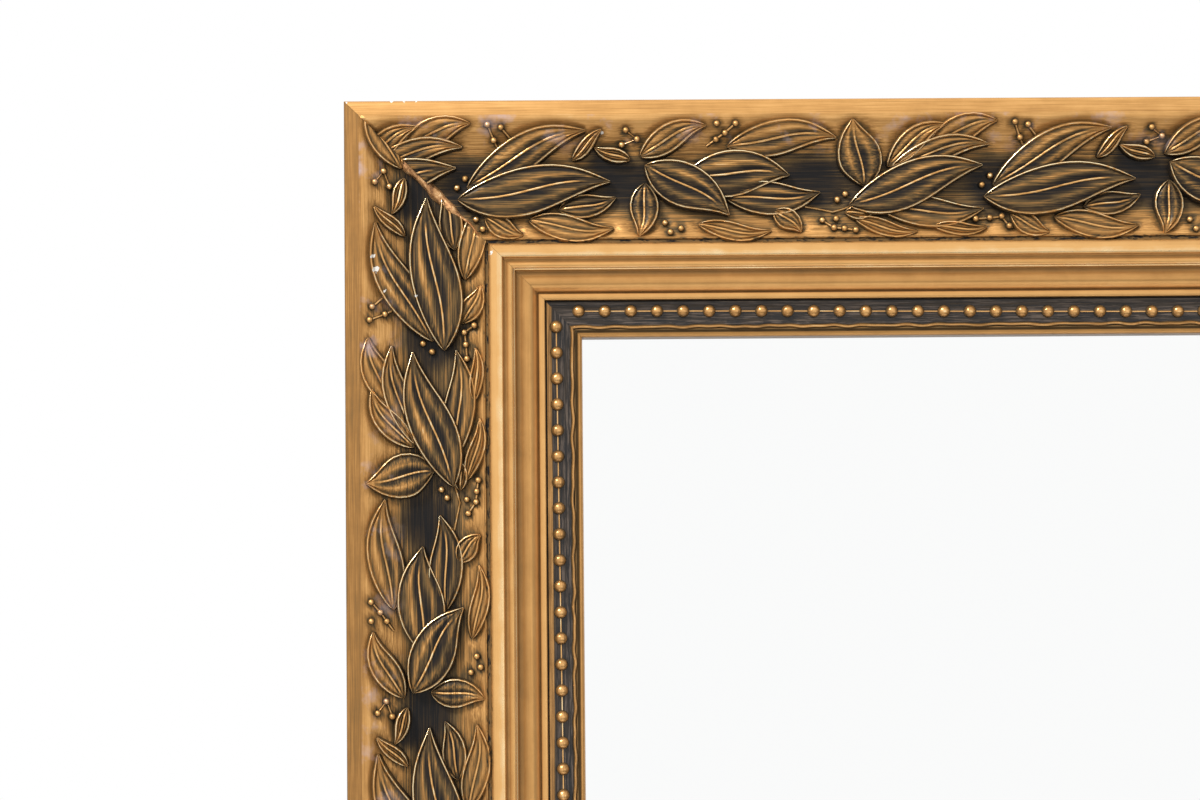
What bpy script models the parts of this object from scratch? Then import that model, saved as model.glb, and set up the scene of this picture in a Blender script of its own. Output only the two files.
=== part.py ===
"""Cheval floor mirror: a tall ornamented frame that tilts between two turned posts.

Metres, +Z up, the glass faces -Y, and the origin is on the floor under the middle of the stand.
The frame is four mitred lengths of one moulding. A pressed garland lies in its hollow and a
string of beads in its channel. Each side of the frame is held by a threaded stud and a knob.
"""

import math

import bmesh
import bpy
from mathutils import Matrix, Vector

# Driving sizes.
FRAME_WIDTH = 0.600  # outside of the moulding, across the frame
FRAME_HEIGHT = 1.500  # outside of the moulding, up the frame
FRAME_ABOVE_FLOOR = 0.215
PIVOT_ABOVE_MIDDLE = 0.030  # the frame hangs from just over its middle, so that it stays upright
SEATED = 0.0003  # between two pieces that touch
RUNNING = 0.0006  # round a shaft in its bore, and round a tenon
HOLE_SLACK = 0.001  # how much deeper a blind hole is than what goes into it
OVERRUN = 0.005  # how far a cutter stands out of what it cuts

# The moulding's members across it, from its outer edge to the glass.
BAND_WIDTH = 0.0090
HOLLOW_WIDTH = 0.0465
GROOVE_WIDTH = 0.0020
FILLET_WIDTH = 0.0056
ASTRAGAL_WIDTH = 0.0053
OVOLO_WIDTH = 0.0084
STEP_WIDTH = 0.0034
CHANNEL_WIDTH = 0.0110
LIP_WIDTH = 0.0038

# How far each member stands forward of the moulding's flat back.
BAND_DEPTH = 0.0300
HOLLOW_SAG = 0.0062  # how far the hollow dips under the line between its two edges
HOLLOW_INNER_DEPTH = 0.0275
GROOVE_DEPTH = 0.0264
FILLET_DEPTH = 0.0282
ASTRAGAL_DEPTH = 0.0262
OVOLO_DEPTH = 0.0243
STEP_DEPTH = 0.0212
CHANNEL_DEPTH = 0.0170
LIP_DEPTH = 0.0186
LIP_EDGE_DEPTH = 0.0158
REBATE_WIDTH = 0.008
REBATE_DEPTH = 0.009
BACK_Y = 0.017  # where the moulding's back is, behind the axis it tilts about
MITRE_GAP = 0.0003

# What lies in the frame.
GARLAND_THICKNESS = 0.0048
GARLAND_EDGE = 0.0012
BEAD_RADIUS = 0.0024
BEAD_STRIP_THICKNESS = 0.0009
GLASS_THICKNESS = 0.004
BOARD_THICKNESS = 0.0038
PANE_CLEARANCE = 0.001

# What holds the frame's back.
PLATE_LEG = 0.085
PLATE_WIDTH = 0.020
PLATE_THICKNESS = 0.002
PLATE_INSET = 0.016
PLATE_HOLE_RADIUS = 0.0023
CLIP_LENGTH = 0.044
CLIP_WIDTH = 0.016
CLIP_THICKNESS = 0.0015
CLIP_OVERLAP = 0.012  # how far a clip reaches over the backing board
SCREW_RADIUS = 0.0019
SCREW_LENGTH = 0.013
SCREW_HEAD_RADIUS = 0.0042
SCREW_HEAD_HEIGHT = 0.0022

# The stand.
BLOCK = 0.046  # side of a post's square blocks
SIDE_GAP = 0.006  # between the frame and a post
BASE_BLOCK_BOTTOM = 0.115
BASE_BLOCK_HEIGHT = 0.135
PIVOT_BLOCK_HEIGHT = 0.110
BLOCK_CHAMFER = 0.004
SHAFT_RADIUS = 0.0155
DOWEL_RADIUS = 0.008
DOWEL_LENGTH = 0.020
LEG_THICKNESS = 0.034
LEG_REACH = 0.235  # from a post's face to the end of its foot
LEG_JOINT_HEIGHT = 0.100
TENON_THICKNESS = 0.012
TENON_HEIGHT = 0.070
TENON_ROOT = 0.004  # how far a tenon's block reaches back into its leg
BLOCK_WEB = 0.0034  # wood left inside a block between one joint's end and the next
GLIDE_RADIUS = 0.011
GLIDE_HEIGHT = 0.010
GLIDE_EDGE = 0.0015
FOOT_PAD = (0.78, 0.93)  # where a leg's flat pad starts and ends along its reach
STRETCHER_ABOVE_BLOCK = 0.048
STRETCHER_RADIUS = 0.0125
STRETCHER_DOWEL_RADIUS = 0.009
BOLT_RADIUS = 0.003
BOLT_GRIP = 0.026  # thread inside the stretcher's end
BOLT_HEAD_RADIUS = 0.008
BOLT_HEAD_HEIGHT = 0.004

# The tilt clamps.
STUD_RADIUS = 0.004
STUD_IN_FRAME = 0.018
STUD_IN_KNOB = 0.014
INSERT_RADIUS = 0.0065
INSERT_LENGTH = 0.022
BUSH_RADIUS = 0.0070
SPACER_RADIUS = 0.014
WASHER_RADIUS = 0.0130
WASHER_THICKNESS = 0.0018
KNOB_LENGTH = 0.030
KNOB_RADIUS = 0.0165
KNOB_NECK_RADIUS = 0.0095
KNOB_LOBES = 6
KNOB_LOBE_DEPTH = 0.07

# What follows from them.
HOLLOW_END = BAND_WIDTH + HOLLOW_WIDTH
FILLET_START = HOLLOW_END + GROOVE_WIDTH
ASTRAGAL_START = FILLET_START + FILLET_WIDTH
OVOLO_START = ASTRAGAL_START + ASTRAGAL_WIDTH
STEP_START = OVOLO_START + OVOLO_WIDTH
CHANNEL_START = STEP_START + STEP_WIDTH
CHANNEL_END = CHANNEL_START + CHANNEL_WIDTH
MOULDING_WIDTH = CHANNEL_END + LIP_WIDTH
FRAME_MIDDLE = FRAME_ABOVE_FLOOR + FRAME_HEIGHT / 2
PIVOT_HEIGHT = FRAME_MIDDLE + PIVOT_ABOVE_MIDDLE
POST_INNER = FRAME_WIDTH / 2 + SIDE_GAP
POST_X = POST_INNER + BLOCK / 2
POST_OUTER = POST_INNER + BLOCK
PANE_INSET = MOULDING_WIDTH - REBATE_WIDTH + PANE_CLEARANCE
GLASS_BACK = REBATE_DEPTH - SEATED - GLASS_THICKNESS  # forward of the moulding's back
BOARD_BACK = GLASS_BACK - SEATED - BOARD_THICKNESS
BASE_BLOCK_TOP = BASE_BLOCK_BOTTOM + BASE_BLOCK_HEIGHT
PIVOT_BLOCK_BOTTOM = PIVOT_HEIGHT - PIVOT_BLOCK_HEIGHT / 2
PIVOT_BLOCK_TOP = PIVOT_HEIGHT + PIVOT_BLOCK_HEIGHT / 2
STRETCHER_HEIGHT = BASE_BLOCK_BOTTOM + STRETCHER_ABOVE_BLOCK
LEG_JOINT_MIDDLE = BASE_BLOCK_TOP - 0.010 - LEG_JOINT_HEIGHT / 2
TENON_LENGTH = BLOCK / 2 - BOLT_RADIUS - RUNNING - HOLE_SLACK - BLOCK_WEB
STRETCHER_DOWEL_LENGTH = BLOCK / 2 - TENON_THICKNESS / 2 - SEATED - HOLE_SLACK - BLOCK_WEB / 2

# Every turn that carries a side of the frame from the top, about the axis through its middle.
SIDES = {"top": 0, "left": -90, "bottom": 180, "right": 90}
# A moulding's outline runs in its object's X (across) and Y (forward), and its length in Z.
OUTLINE_TO_TOP = Matrix(((0, 0, -1), (0, -1, 0), (-1, 0, 0))).to_4x4()


def clear_scene():
    for obj in list(bpy.data.objects):
        bpy.data.objects.remove(obj)


def new_collection(name):
    collection = bpy.data.collections.new(name)
    bpy.context.scene.collection.children.link(collection)
    return collection


clear_scene()
PARTS = new_collection("cheval_mirror")
CUTTERS = new_collection("cutters")
CUTTERS.hide_render = True


def material(name, colour, roughness, metallic):
    made = bpy.data.materials.new(name)
    made.use_nodes = True
    shader = made.node_tree.nodes["Principled BSDF"]
    shader.inputs["Base Color"].default_value = (*colour, 1)
    shader.inputs["Roughness"].default_value = roughness
    shader.inputs["Metallic"].default_value = metallic
    return made


MATERIALS = {
    "gilt_moulding": material("gilt_moulding", (0.62, 0.38, 0.16), 0.42, 0.5),
    "gilt_ornament": material("gilt_ornament", (0.25, 0.15, 0.07), 0.45, 0.5),
    "gilt_stand": material("gilt_stand", (0.55, 0.33, 0.14), 0.42, 0.5),
    "mirror": material("mirror", (0.95, 0.95, 0.95), 0.02, 1.0),
    "hardboard": material("hardboard", (0.17, 0.10, 0.06), 0.80, 0.0),
    "zinc_steel": material("zinc_steel", (0.60, 0.60, 0.62), 0.35, 1.0),
    "brass": material("brass", (0.63, 0.45, 0.18), 0.30, 1.0),
    "fibre": material("fibre", (0.05, 0.04, 0.035), 0.75, 0.0),
    "felt": material("felt", (0.06, 0.055, 0.05), 0.95, 0.0),
}


def outline(points, arc_steps=6):
    """2D points joined by lines, or by an arc where a point carries a third number.

    That number is the arc's bulge to the left of the way from the last point, in metres.
    """
    found = [Vector(points[0][:2])]
    for x, y, *bulge in points[1:]:
        start, end = found[-1], Vector((x, y))
        if bulge:
            chord = end - start
            left = Vector((-chord.y, chord.x)).normalized()
            half = 2 * math.atan(2 * abs(bulge[0]) / chord.length)
            radius = chord.length / 2 / math.sin(half)
            for step in range(1, arc_steps):
                angle = half * (2 * step / arc_steps - 1)
                along = chord.normalized() * (radius * math.sin(angle) + chord.length / 2)
                rise = radius * (math.cos(angle) - math.cos(half))
                found.append(start + along + left * math.copysign(rise, bulge[0]))
        found.append(end)
    return found


def add(name, data, look, collection=PARTS):
    obj = bpy.data.objects.new(name, data)
    collection.objects.link(obj)
    obj.data.materials.append(MATERIALS[look])
    return obj


def mesh_of(obj):
    """Takes a modelled object's shape, with its modifiers, as a plain mesh with welded caps."""
    bpy.context.view_layer.update()
    graph = bpy.context.evaluated_depsgraph_get()
    mesh = bpy.data.meshes.new_from_object(obj.evaluated_get(graph), depsgraph=graph)
    bm = bmesh.new()
    bm.from_mesh(mesh)
    bmesh.ops.remove_doubles(bm, verts=bm.verts, dist=1e-6)
    bm.to_mesh(mesh)
    bm.free()
    bpy.data.objects.remove(obj)
    return mesh


def smooth(obj, angle=32):
    obj.data.shade_smooth()
    obj.data.set_sharp_from_angle(angle=math.radians(angle))
    return obj


def plate(name, loops, thickness, look):
    """A flat piece from closed loops of 2D points. The first is its edge and the rest are holes."""
    curve = bpy.data.curves.new(name, "CURVE")
    curve.dimensions = "2D"
    curve.fill_mode = "BOTH"
    curve.extrude = thickness / 2
    for loop in loops:
        spline = curve.splines.new("POLY")
        spline.points.add(len(loop) - 1)
        for point, place in zip(spline.points, loop):
            point.co = (place.x, place.y, 0, 1)
        spline.use_cyclic_u = True
    shape = bpy.data.objects.new(name, curve)
    PARTS.objects.link(shape)
    return add(name, mesh_of(shape), look)


def turned(name, profile, look, steps=16):
    """A piece turned about Z. The profile is (radius, height), from its top on the axis down."""
    mesh = bpy.data.meshes.new(name)
    edges = [(i, i + 1) for i in range(len(profile) - 1)]
    mesh.from_pydata([(p.x, 0, p.y) for p in profile], edges, [])
    shape = bpy.data.objects.new(name, mesh)
    PARTS.objects.link(shape)
    screw = shape.modifiers.new("turn", "SCREW")
    screw.steps = screw.render_steps = steps
    screw.use_merge_vertices = True
    screw.merge_threshold = 1e-5
    return smooth(add(name, mesh_of(shape), look))


def cylinder(name, radius, length, look, steps=16, bore=0.0):
    """A round bar along Z from its origin, with a hole through it if bore is given."""
    if bore:
        ring = [(bore, length), (radius, length), (radius, 0), (bore, 0), (bore, length)]
        return turned(name, outline(ring), look, steps)
    return turned(name, outline([(0, length), (radius, length), (radius, 0), (0, 0)]), look, steps)


def box(name, size, look, chamfer=0.0):
    mesh = bpy.data.meshes.new(name)
    bm = bmesh.new()
    bmesh.ops.create_cube(bm, size=1)
    bmesh.ops.scale(bm, vec=size, verts=bm.verts)
    bm.to_mesh(mesh)
    bm.free()
    obj = add(name, mesh, look)
    if chamfer:
        bevel = obj.modifiers.new("chamfer", "BEVEL")
        bevel.width = chamfer
        bevel.segments = 1
    return obj


def combine(target, operation, *others):
    """Cuts the others from the target or joins them to it, and keeps them as hidden helpers."""
    for other in others:
        PARTS.objects.unlink(other)
        CUTTERS.objects.link(other)
        other.parent = target
        other.matrix_parent_inverse = target.matrix_basis.inverted()
        other.hide_render = True
        other.display_type = "WIRE"
        modifier = target.modifiers.new(operation.lower(), "BOOLEAN")
        modifier.operation = operation
        modifier.object = other
        modifier.solver = "EXACT"
    return target


def along_x(obj, x, y, z, way):
    """Lays a piece made along Z out along X, pointing the way given, 1 or -1."""
    obj.matrix_world = Matrix.Translation((x, y, z)) @ Matrix.Rotation(math.pi / 2 * way, 4, "Y")
    return obj


def group(name, place):
    empty = bpy.data.objects.new(name, None)
    empty.empty_display_size = 0.1
    empty.location = place
    bpy.context.scene.collection.objects.link(empty)
    bpy.context.view_layer.update()
    return empty


def join_group(empty, *objects):
    """Hangs objects on an empty and leaves them where they are."""
    for obj in objects:
        obj.parent = empty
        obj.matrix_parent_inverse = empty.matrix_world.inverted()


# The mirror panel.


def side_length(side):
    return FRAME_WIDTH if side in ("top", "bottom") else FRAME_HEIGHT


def side_matrix(side):
    """Carries a moulding's own axes to its side of the frame."""
    reach = FRAME_HEIGHT / 2 if side in ("top", "bottom") else FRAME_WIDTH / 2
    middle = Matrix.Translation((0, BACK_Y, FRAME_MIDDLE))
    turn = Matrix.Rotation(math.radians(SIDES[side]), 4, "Y")
    return middle @ turn @ Matrix.Translation((0, 0, reach)) @ OUTLINE_TO_TOP


def moulding_outline():
    """The moulding's section: band, hollow, three stepped reeds, bead channel, lip, rebate."""
    edge = 0.0006  # the small slopes between one member and the next
    return outline(
        [
            (0, 0),
            (0, BAND_DEPTH - 0.0010),
            (0.0010, BAND_DEPTH, 0.0003),
            (BAND_WIDTH, BAND_DEPTH),
            (HOLLOW_END, HOLLOW_INNER_DEPTH, -HOLLOW_SAG),
            (HOLLOW_END + edge, GROOVE_DEPTH),
            (FILLET_START, GROOVE_DEPTH),
            (FILLET_START + edge, FILLET_DEPTH),
            (ASTRAGAL_START, FILLET_DEPTH),
            (ASTRAGAL_START + edge, ASTRAGAL_DEPTH),
            (OVOLO_START, ASTRAGAL_DEPTH - 0.0004, ASTRAGAL_WIDTH * 0.3),
            (OVOLO_START + 2 * edge, OVOLO_DEPTH),
            (STEP_START, STEP_DEPTH, OVOLO_WIDTH * 0.16),
            (CHANNEL_START - edge, STEP_DEPTH),
            (CHANNEL_START, CHANNEL_DEPTH),
            (CHANNEL_END, CHANNEL_DEPTH),
            (CHANNEL_END + edge, LIP_DEPTH),
            (CHANNEL_END + LIP_WIDTH / 2, LIP_DEPTH),
            (MOULDING_WIDTH, LIP_EDGE_DEPTH),
            (MOULDING_WIDTH, REBATE_DEPTH),
            (MOULDING_WIDTH - REBATE_WIDTH, REBATE_DEPTH),
            (MOULDING_WIDTH - REBATE_WIDTH, 0),
        ]
    )


def garland_outline():
    """The pressed strip that fills the hollow, its back following the hollow at a small gap."""
    start, end = BAND_WIDTH + 0.0012, HOLLOW_END - 0.0010
    return outline(
        [
            (start, BAND_DEPTH + SEATED),
            (start, BAND_DEPTH + GARLAND_EDGE),
            (
                end,
                HOLLOW_INNER_DEPTH + GARLAND_EDGE,
                GARLAND_THICKNESS - GARLAND_EDGE - HOLLOW_SAG,
            ),
            (end, HOLLOW_INNER_DEPTH + SEATED),
            (start, BAND_DEPTH + SEATED, HOLLOW_SAG - SEATED),
        ],
        arc_steps=10,
    )[:-1]


def beading_outline():
    """The flat strip with its round string of beads, which lies in the channel."""
    middle = (CHANNEL_START + CHANNEL_END) / 2
    start, end = CHANNEL_START + 2 * SEATED, CHANNEL_END - 2 * SEATED
    base = CHANNEL_DEPTH + SEATED
    top = base + BEAD_STRIP_THICKNESS
    return outline(
        [
            (start, base),
            (start, top),
            (middle - BEAD_RADIUS, top),
            (middle + BEAD_RADIUS, top, BEAD_RADIUS * 0.98),
            (end, top),
            (end, base),
        ],
        arc_steps=8,
    )


def mitred(name, side, section, look):
    """A length of a section on one side of the frame, cut at 45 degrees at both ends."""
    length = side_length(side)
    obj = plate(name, [section], length, look)
    bm = bmesh.new()
    bm.from_mesh(obj.data)
    for end in (1, -1):
        cut = bmesh.ops.bisect_plane(
            bm,
            geom=bm.verts[:] + bm.edges[:] + bm.faces[:],
            plane_co=(0, 0, end * (length / 2 - MITRE_GAP / math.sqrt(2))),
            plane_no=(1, 0, end),
            clear_outer=True,
        )
        edges = [e for e in cut["geom_cut"] if isinstance(e, bmesh.types.BMEdge)]
        bmesh.ops.edgeloop_fill(bm, edges=edges)
    bmesh.ops.recalc_face_normals(bm, faces=bm.faces)
    bm.to_mesh(obj.data)
    bm.free()
    obj.matrix_world = side_matrix(side)
    return smooth(obj)


def clip_places():
    """(side, distance along it from its middle) of each clip that holds the backing board."""
    found = [(side, 0.0) for side in ("top", "bottom")]
    for side in ("left", "right"):
        found += [(side, way * FRAME_HEIGHT / 4) for way in (-1, 1)]
    return found


def back_place(side, across, along):
    """The point on the moulding's flat back at this distance in from its outer edge."""
    return side_matrix(side) @ Vector((across, 0, along))


def screw_across():
    return MOULDING_WIDTH - REBATE_WIDTH - (CLIP_LENGTH - CLIP_OVERLAP) / 2


def rail(side):
    """One side's moulding, with the pilot holes for its clips and, on a stile, the clamp's hole."""
    name = f"{side}_{'rail' if side in ('top', 'bottom') else 'stile'}"
    obj = mitred(name, side, moulding_outline(), "gilt_moulding")
    holes = []
    for clip_side, along in clip_places():
        if clip_side == side:
            length = SCREW_LENGTH + HOLE_SLACK + OVERRUN
            hole = cylinder("hole", SCREW_RADIUS + SEATED, length, "brass", 8)
            place = back_place(side, screw_across(), along) + Vector((0, OVERRUN, 0))
            hole.matrix_world = Matrix.Translation(place) @ Matrix.Rotation(math.pi / 2, 4, "X")
            holes.append(hole)
    if side in ("left", "right"):
        way = 1 if side == "right" else -1
        hole = cylinder("hole", INSERT_RADIUS + SEATED, 2 * INSERT_LENGTH, "brass")
        along_x(hole, way * (FRAME_WIDTH / 2 + INSERT_LENGTH - HOLE_SLACK), 0, PIVOT_HEIGHT, -way)
        holes.append(hole)
    return combine(obj, "DIFFERENCE", *holes)


def pane(name, thickness, back, look):
    width = FRAME_WIDTH - 2 * PANE_INSET
    height = FRAME_HEIGHT - 2 * PANE_INSET
    obj = box(name, (width, thickness, height), look)
    obj.location = (0, BACK_Y - back - thickness / 2, FRAME_MIDDLE)
    return obj


def circle(x, y, radius, steps=8):
    turns = [2 * math.pi * i / steps for i in range(steps)]
    return [Vector((x + radius * math.cos(t), y + radius * math.sin(t))) for t in turns]


def corner_plate(vertical, horizontal):
    """The flat steel angle screwed over a mitre on the frame's back."""
    edge = [
        (0, 0),
        (PLATE_LEG, 0),
        (PLATE_LEG, PLATE_WIDTH, -PLATE_WIDTH / 4),
        (PLATE_WIDTH, PLATE_WIDTH),
        (PLATE_WIDTH, PLATE_LEG),
        (0, PLATE_LEG, -PLATE_WIDTH / 4),
    ]
    half = PLATE_WIDTH / 2
    holes = []
    for far in (PLATE_LEG * 0.45, PLATE_LEG * 0.88):
        holes += [circle(far, half, PLATE_HOLE_RADIUS), circle(half, far, PLATE_HOLE_RADIUS)]
    name = f"{vertical}_{horizontal}_corner_plate"
    obj = plate(name, [outline(edge), *holes], PLATE_THICKNESS, "zinc_steel")
    up = 1 if vertical == "top" else -1
    right = 1 if horizontal == "right" else -1
    obj.matrix_world = (
        Matrix.Translation(
            (
                right * (FRAME_WIDTH / 2 - PLATE_INSET),
                BACK_Y + SEATED + PLATE_THICKNESS / 2,
                FRAME_MIDDLE + up * (FRAME_HEIGHT / 2 - PLATE_INSET),
            )
        )
        @ Matrix.Rotation(math.pi / 2, 4, "X")
        @ Matrix.Diagonal((-right, -up, 1, 1))
    )
    return obj


def clip(number, side, along):
    """A straight steel clip that reaches from the moulding's back over the backing board."""
    half = CLIP_WIDTH / 2
    edge = [
        (half, -half),
        (CLIP_LENGTH - half, -half),
        (CLIP_LENGTH - half, half, -half * 0.98),
        (half, half),
        (half, -half, -half * 0.98),
    ]
    hole = circle((CLIP_LENGTH - CLIP_OVERLAP) / 2, 0, SCREW_RADIUS + RUNNING)
    loops = [outline(edge)[:-1], hole]
    obj = plate(f"back_clip_{number}", loops, CLIP_THICKNESS, "zinc_steel")
    start = MOULDING_WIDTH - REBATE_WIDTH + CLIP_OVERLAP - CLIP_LENGTH
    obj.matrix_world = (
        side_matrix(side)
        @ Matrix.Translation((start, -SEATED - CLIP_THICKNESS / 2, along))
        @ Matrix.Rotation(math.pi / 2, 4, "X")
    )
    return obj


def clip_screw(number, side, along):
    head = SEATED + CLIP_THICKNESS + SEATED
    profile = outline(
        [
            (0, head + SCREW_HEAD_HEIGHT),
            (SCREW_HEAD_RADIUS * 0.6, head + SCREW_HEAD_HEIGHT * 0.9),
            (SCREW_HEAD_RADIUS, head, 0.0007),
            (SCREW_RADIUS, head),
            (SCREW_RADIUS, -SCREW_LENGTH + 0.004),
            (0, -SCREW_LENGTH),
        ],
        arc_steps=3,
    )
    obj = turned(f"clip_screw_{number}", profile, "zinc_steel", 8)
    place = back_place(side, screw_across(), along)
    obj.matrix_world = Matrix.Translation(place) @ Matrix.Rotation(-math.pi / 2, 4, "X")
    return obj


def insert(side, way):
    """The threaded brass insert let into a stile, flush with its outer side."""
    length = INSERT_LENGTH - SEATED
    obj = cylinder(f"{side}_insert", INSERT_RADIUS, length, "brass", 16, STUD_RADIUS + RUNNING)
    return along_x(obj, way * (FRAME_WIDTH / 2 - SEATED), 0, PIVOT_HEIGHT, -way)


# The stand.


def shaft_profile(bottom, top):
    """A baluster between the two blocks: rings at both ends and one long swelling vase."""
    r = SHAFT_RADIUS
    height = top - bottom
    waist = bottom + height * 0.62
    return [
        (0, top + 0.004),
        (r * 1.15, top + 0.004),
        (r * 1.15, top - 0.006),
        (r * 1.15, top - 0.018, 0.005),
        (r * 0.80, top - 0.020),
        (r * 0.80, top - 0.060, -0.0030),
        (r * 1.10, top - 0.062),
        (r * 1.10, top - 0.072, 0.004),
        (r * 0.75, top - 0.075),
        (r * 1.00, waist, -0.003),
        (r * 1.20, waist - 0.003),
        (r * 1.20, waist - 0.013, 0.004),
        (r * 0.85, waist - 0.016),
        (r * 0.75, bottom + 0.120, 0.0085),
        (r * 1.15, bottom + 0.117),
        (r * 1.15, bottom + 0.107, 0.004),
        (r * 0.75, bottom + 0.104),
        (r * 0.80, bottom + 0.020, 0.0085),
        (r * 1.15, bottom + 0.018),
        (r * 1.15, bottom + 0.006, 0.005),
        (r * 1.15, bottom - 0.004),
        (0, bottom - 0.004),
    ]


def square_block(name, bottom, height):
    block = box(name, (BLOCK, BLOCK, height), "gilt_stand", BLOCK_CHAMFER)
    block.location = (0, 0, bottom + height / 2)
    return block


def post(side, way):
    """A post turned from one square length, drilled for its bush, dowels and bolt, and mortised."""
    profile = outline(shaft_profile(BASE_BLOCK_TOP, PIVOT_BLOCK_BOTTOM), arc_steps=3)
    obj = turned(f"{side}_post", profile, "gilt_stand")
    combine(
        obj,
        "UNION",
        square_block("base_block", BASE_BLOCK_BOTTOM, BASE_BLOCK_HEIGHT),
        square_block("pivot_block", PIVOT_BLOCK_BOTTOM, PIVOT_BLOCK_HEIGHT),
    )
    bore = cylinder("bore", BUSH_RADIUS + SEATED, 2 * BLOCK, "brass")
    along_x(bore, -BLOCK, 0, PIVOT_HEIGHT, 1)
    dowel_depth = DOWEL_LENGTH + HOLE_SLACK
    finial_hole = cylinder("finial_hole", DOWEL_RADIUS + SEATED, dowel_depth + OVERRUN, "brass", 16)
    finial_hole.location.z = PIVOT_BLOCK_TOP - dowel_depth
    drop_hole = cylinder("drop_hole", DOWEL_RADIUS + SEATED, dowel_depth + OVERRUN, "brass", 16)
    drop_hole.location.z = BASE_BLOCK_BOTTOM - OVERRUN
    socket_length = STRETCHER_DOWEL_LENGTH + HOLE_SLACK + OVERRUN
    socket = cylinder("socket", STRETCHER_DOWEL_RADIUS + SEATED, socket_length, "brass", 16)
    along_x(socket, -way * (BLOCK / 2 + OVERRUN), 0, STRETCHER_HEIGHT, way)
    bolt_hole = cylinder("bolt_hole", BOLT_RADIUS + RUNNING, BLOCK, "brass", 12)
    along_x(bolt_hole, way * (BLOCK / 2 + OVERRUN), 0, STRETCHER_HEIGHT, -way)
    holes = [bore, finial_hole, drop_hole, socket, bolt_hole]
    for end in (1, -1):
        depth = TENON_LENGTH + HOLE_SLACK
        size = (TENON_THICKNESS + 2 * SEATED, depth + 2 * OVERRUN, TENON_HEIGHT + 2 * SEATED)
        mortise = box("mortise", size, "brass")
        mortise.location = (0, end * (BLOCK / 2 - depth / 2 + OVERRUN), LEG_JOINT_MIDDLE)
        holes.append(mortise)
    combine(obj, "DIFFERENCE", *holes)
    obj.location.x = way * POST_X
    return obj


def finial(side, way):
    """The turned ornament on top of a post, with the dowel that holds it."""
    base = PIVOT_BLOCK_TOP + SEATED
    profile = [
        (0, base + 0.118),
        (0.0035, base + 0.112, 0.0012),
        (0.0050, base + 0.098),
        (0.0080, base + 0.092),
        (0.0080, base + 0.086, 0.0028),
        (0.0062, base + 0.084),
        (0.0105, base + 0.044, 0.0110),
        (0.0095, base + 0.040),
        (0.0095, base + 0.033, 0.0030),
        (0.0080, base + 0.031),
        (0.0170, base + 0.012, -0.0035),
        (0.0185, base + 0.010),
        (0.0185, base, 0.0020),
        (DOWEL_RADIUS, base),
        (DOWEL_RADIUS, base - DOWEL_LENGTH),
        (0, base - DOWEL_LENGTH),
    ]
    obj = turned(f"{side}_finial", outline(profile, arc_steps=3), "gilt_stand")
    obj.location.x = way * POST_X
    return obj


def drop(side, way):
    """The turned pendant under a post's base block."""
    base = BASE_BLOCK_BOTTOM - SEATED
    profile = [
        (0, base + DOWEL_LENGTH),
        (DOWEL_RADIUS, base + DOWEL_LENGTH),
        (DOWEL_RADIUS, base),
        (0.0180, base),
        (0.0180, base - 0.006, 0.0020),
        (0.0100, base - 0.013, -0.0020),
        (0.0100, base - 0.017),
        (0.0060, base - 0.042, 0.0090),
        (0, base - 0.046, 0.0010),
    ]
    obj = turned(f"{side}_drop", outline(profile, arc_steps=3), "gilt_stand")
    obj.location.x = way * POST_X
    return obj


def leg_outline():
    """A leg seen from the side, out from the post's face, with a flat pad for its glide."""
    top = LEG_JOINT_MIDDLE + LEG_JOINT_HEIGHT / 2
    low = LEG_JOINT_MIDDLE - LEG_JOINT_HEIGHT / 2
    sole = GLIDE_HEIGHT + SEATED
    reach = LEG_REACH
    return outline(
        [
            (0, top),
            (reach * 0.10, top - 0.004),
            (reach * 0.45, top - 0.070, 0.011),
            (reach * 0.74, sole + 0.052, -0.006),
            (reach * 0.92, sole + 0.040, -0.004),
            (reach, sole + 0.018, 0.010),
            (reach * FOOT_PAD[1], sole, 0.007),
            (reach * FOOT_PAD[0], sole),
            (reach * 0.66, sole + 0.018, -0.003),
            (reach * 0.30, low + 0.004, 0.016),
            (reach * 0.12, low + 0.006, -0.006),
            (0, low),
        ],
        arc_steps=6,
    )


def leg(side, way, end):
    """A leg sawn from the flat, with the tenon that goes into the post's block."""
    front = "front" if end < 0 else "back"
    obj = plate(f"{side}_{front}_leg", [leg_outline()], LEG_THICKNESS, "gilt_stand")
    tenon = box("tenon", (TENON_LENGTH + TENON_ROOT, TENON_HEIGHT, TENON_THICKNESS), "gilt_stand")
    tenon.location = ((TENON_ROOT - TENON_LENGTH) / 2, LEG_JOINT_MIDDLE, 0)
    combine(obj, "UNION", tenon)
    # The outline's X goes out from the post, its Y goes up, and its thickness runs along X.
    stand_up = Matrix(((0, 0, end, 0), (end, 0, 0, 0), (0, 1, 0, 0), (0, 0, 0, 1)))
    face = Matrix.Translation((way * POST_X, end * (BLOCK / 2 + SEATED), 0))
    obj.matrix_world = face @ stand_up
    return smooth(obj)


def glide(side, way, end):
    front = "front" if end < 0 else "back"
    profile = [(0, GLIDE_HEIGHT), (GLIDE_RADIUS, GLIDE_HEIGHT), (GLIDE_RADIUS, GLIDE_EDGE)]
    profile += [(GLIDE_RADIUS - GLIDE_EDGE, 0), (0, 0)]
    obj = turned(f"{side}_{front}_glide", outline(profile), "felt")
    obj.location = (way * POST_X, end * (BLOCK / 2 + SEATED + LEG_REACH * sum(FOOT_PAD) / 2), 0)
    return obj


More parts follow.
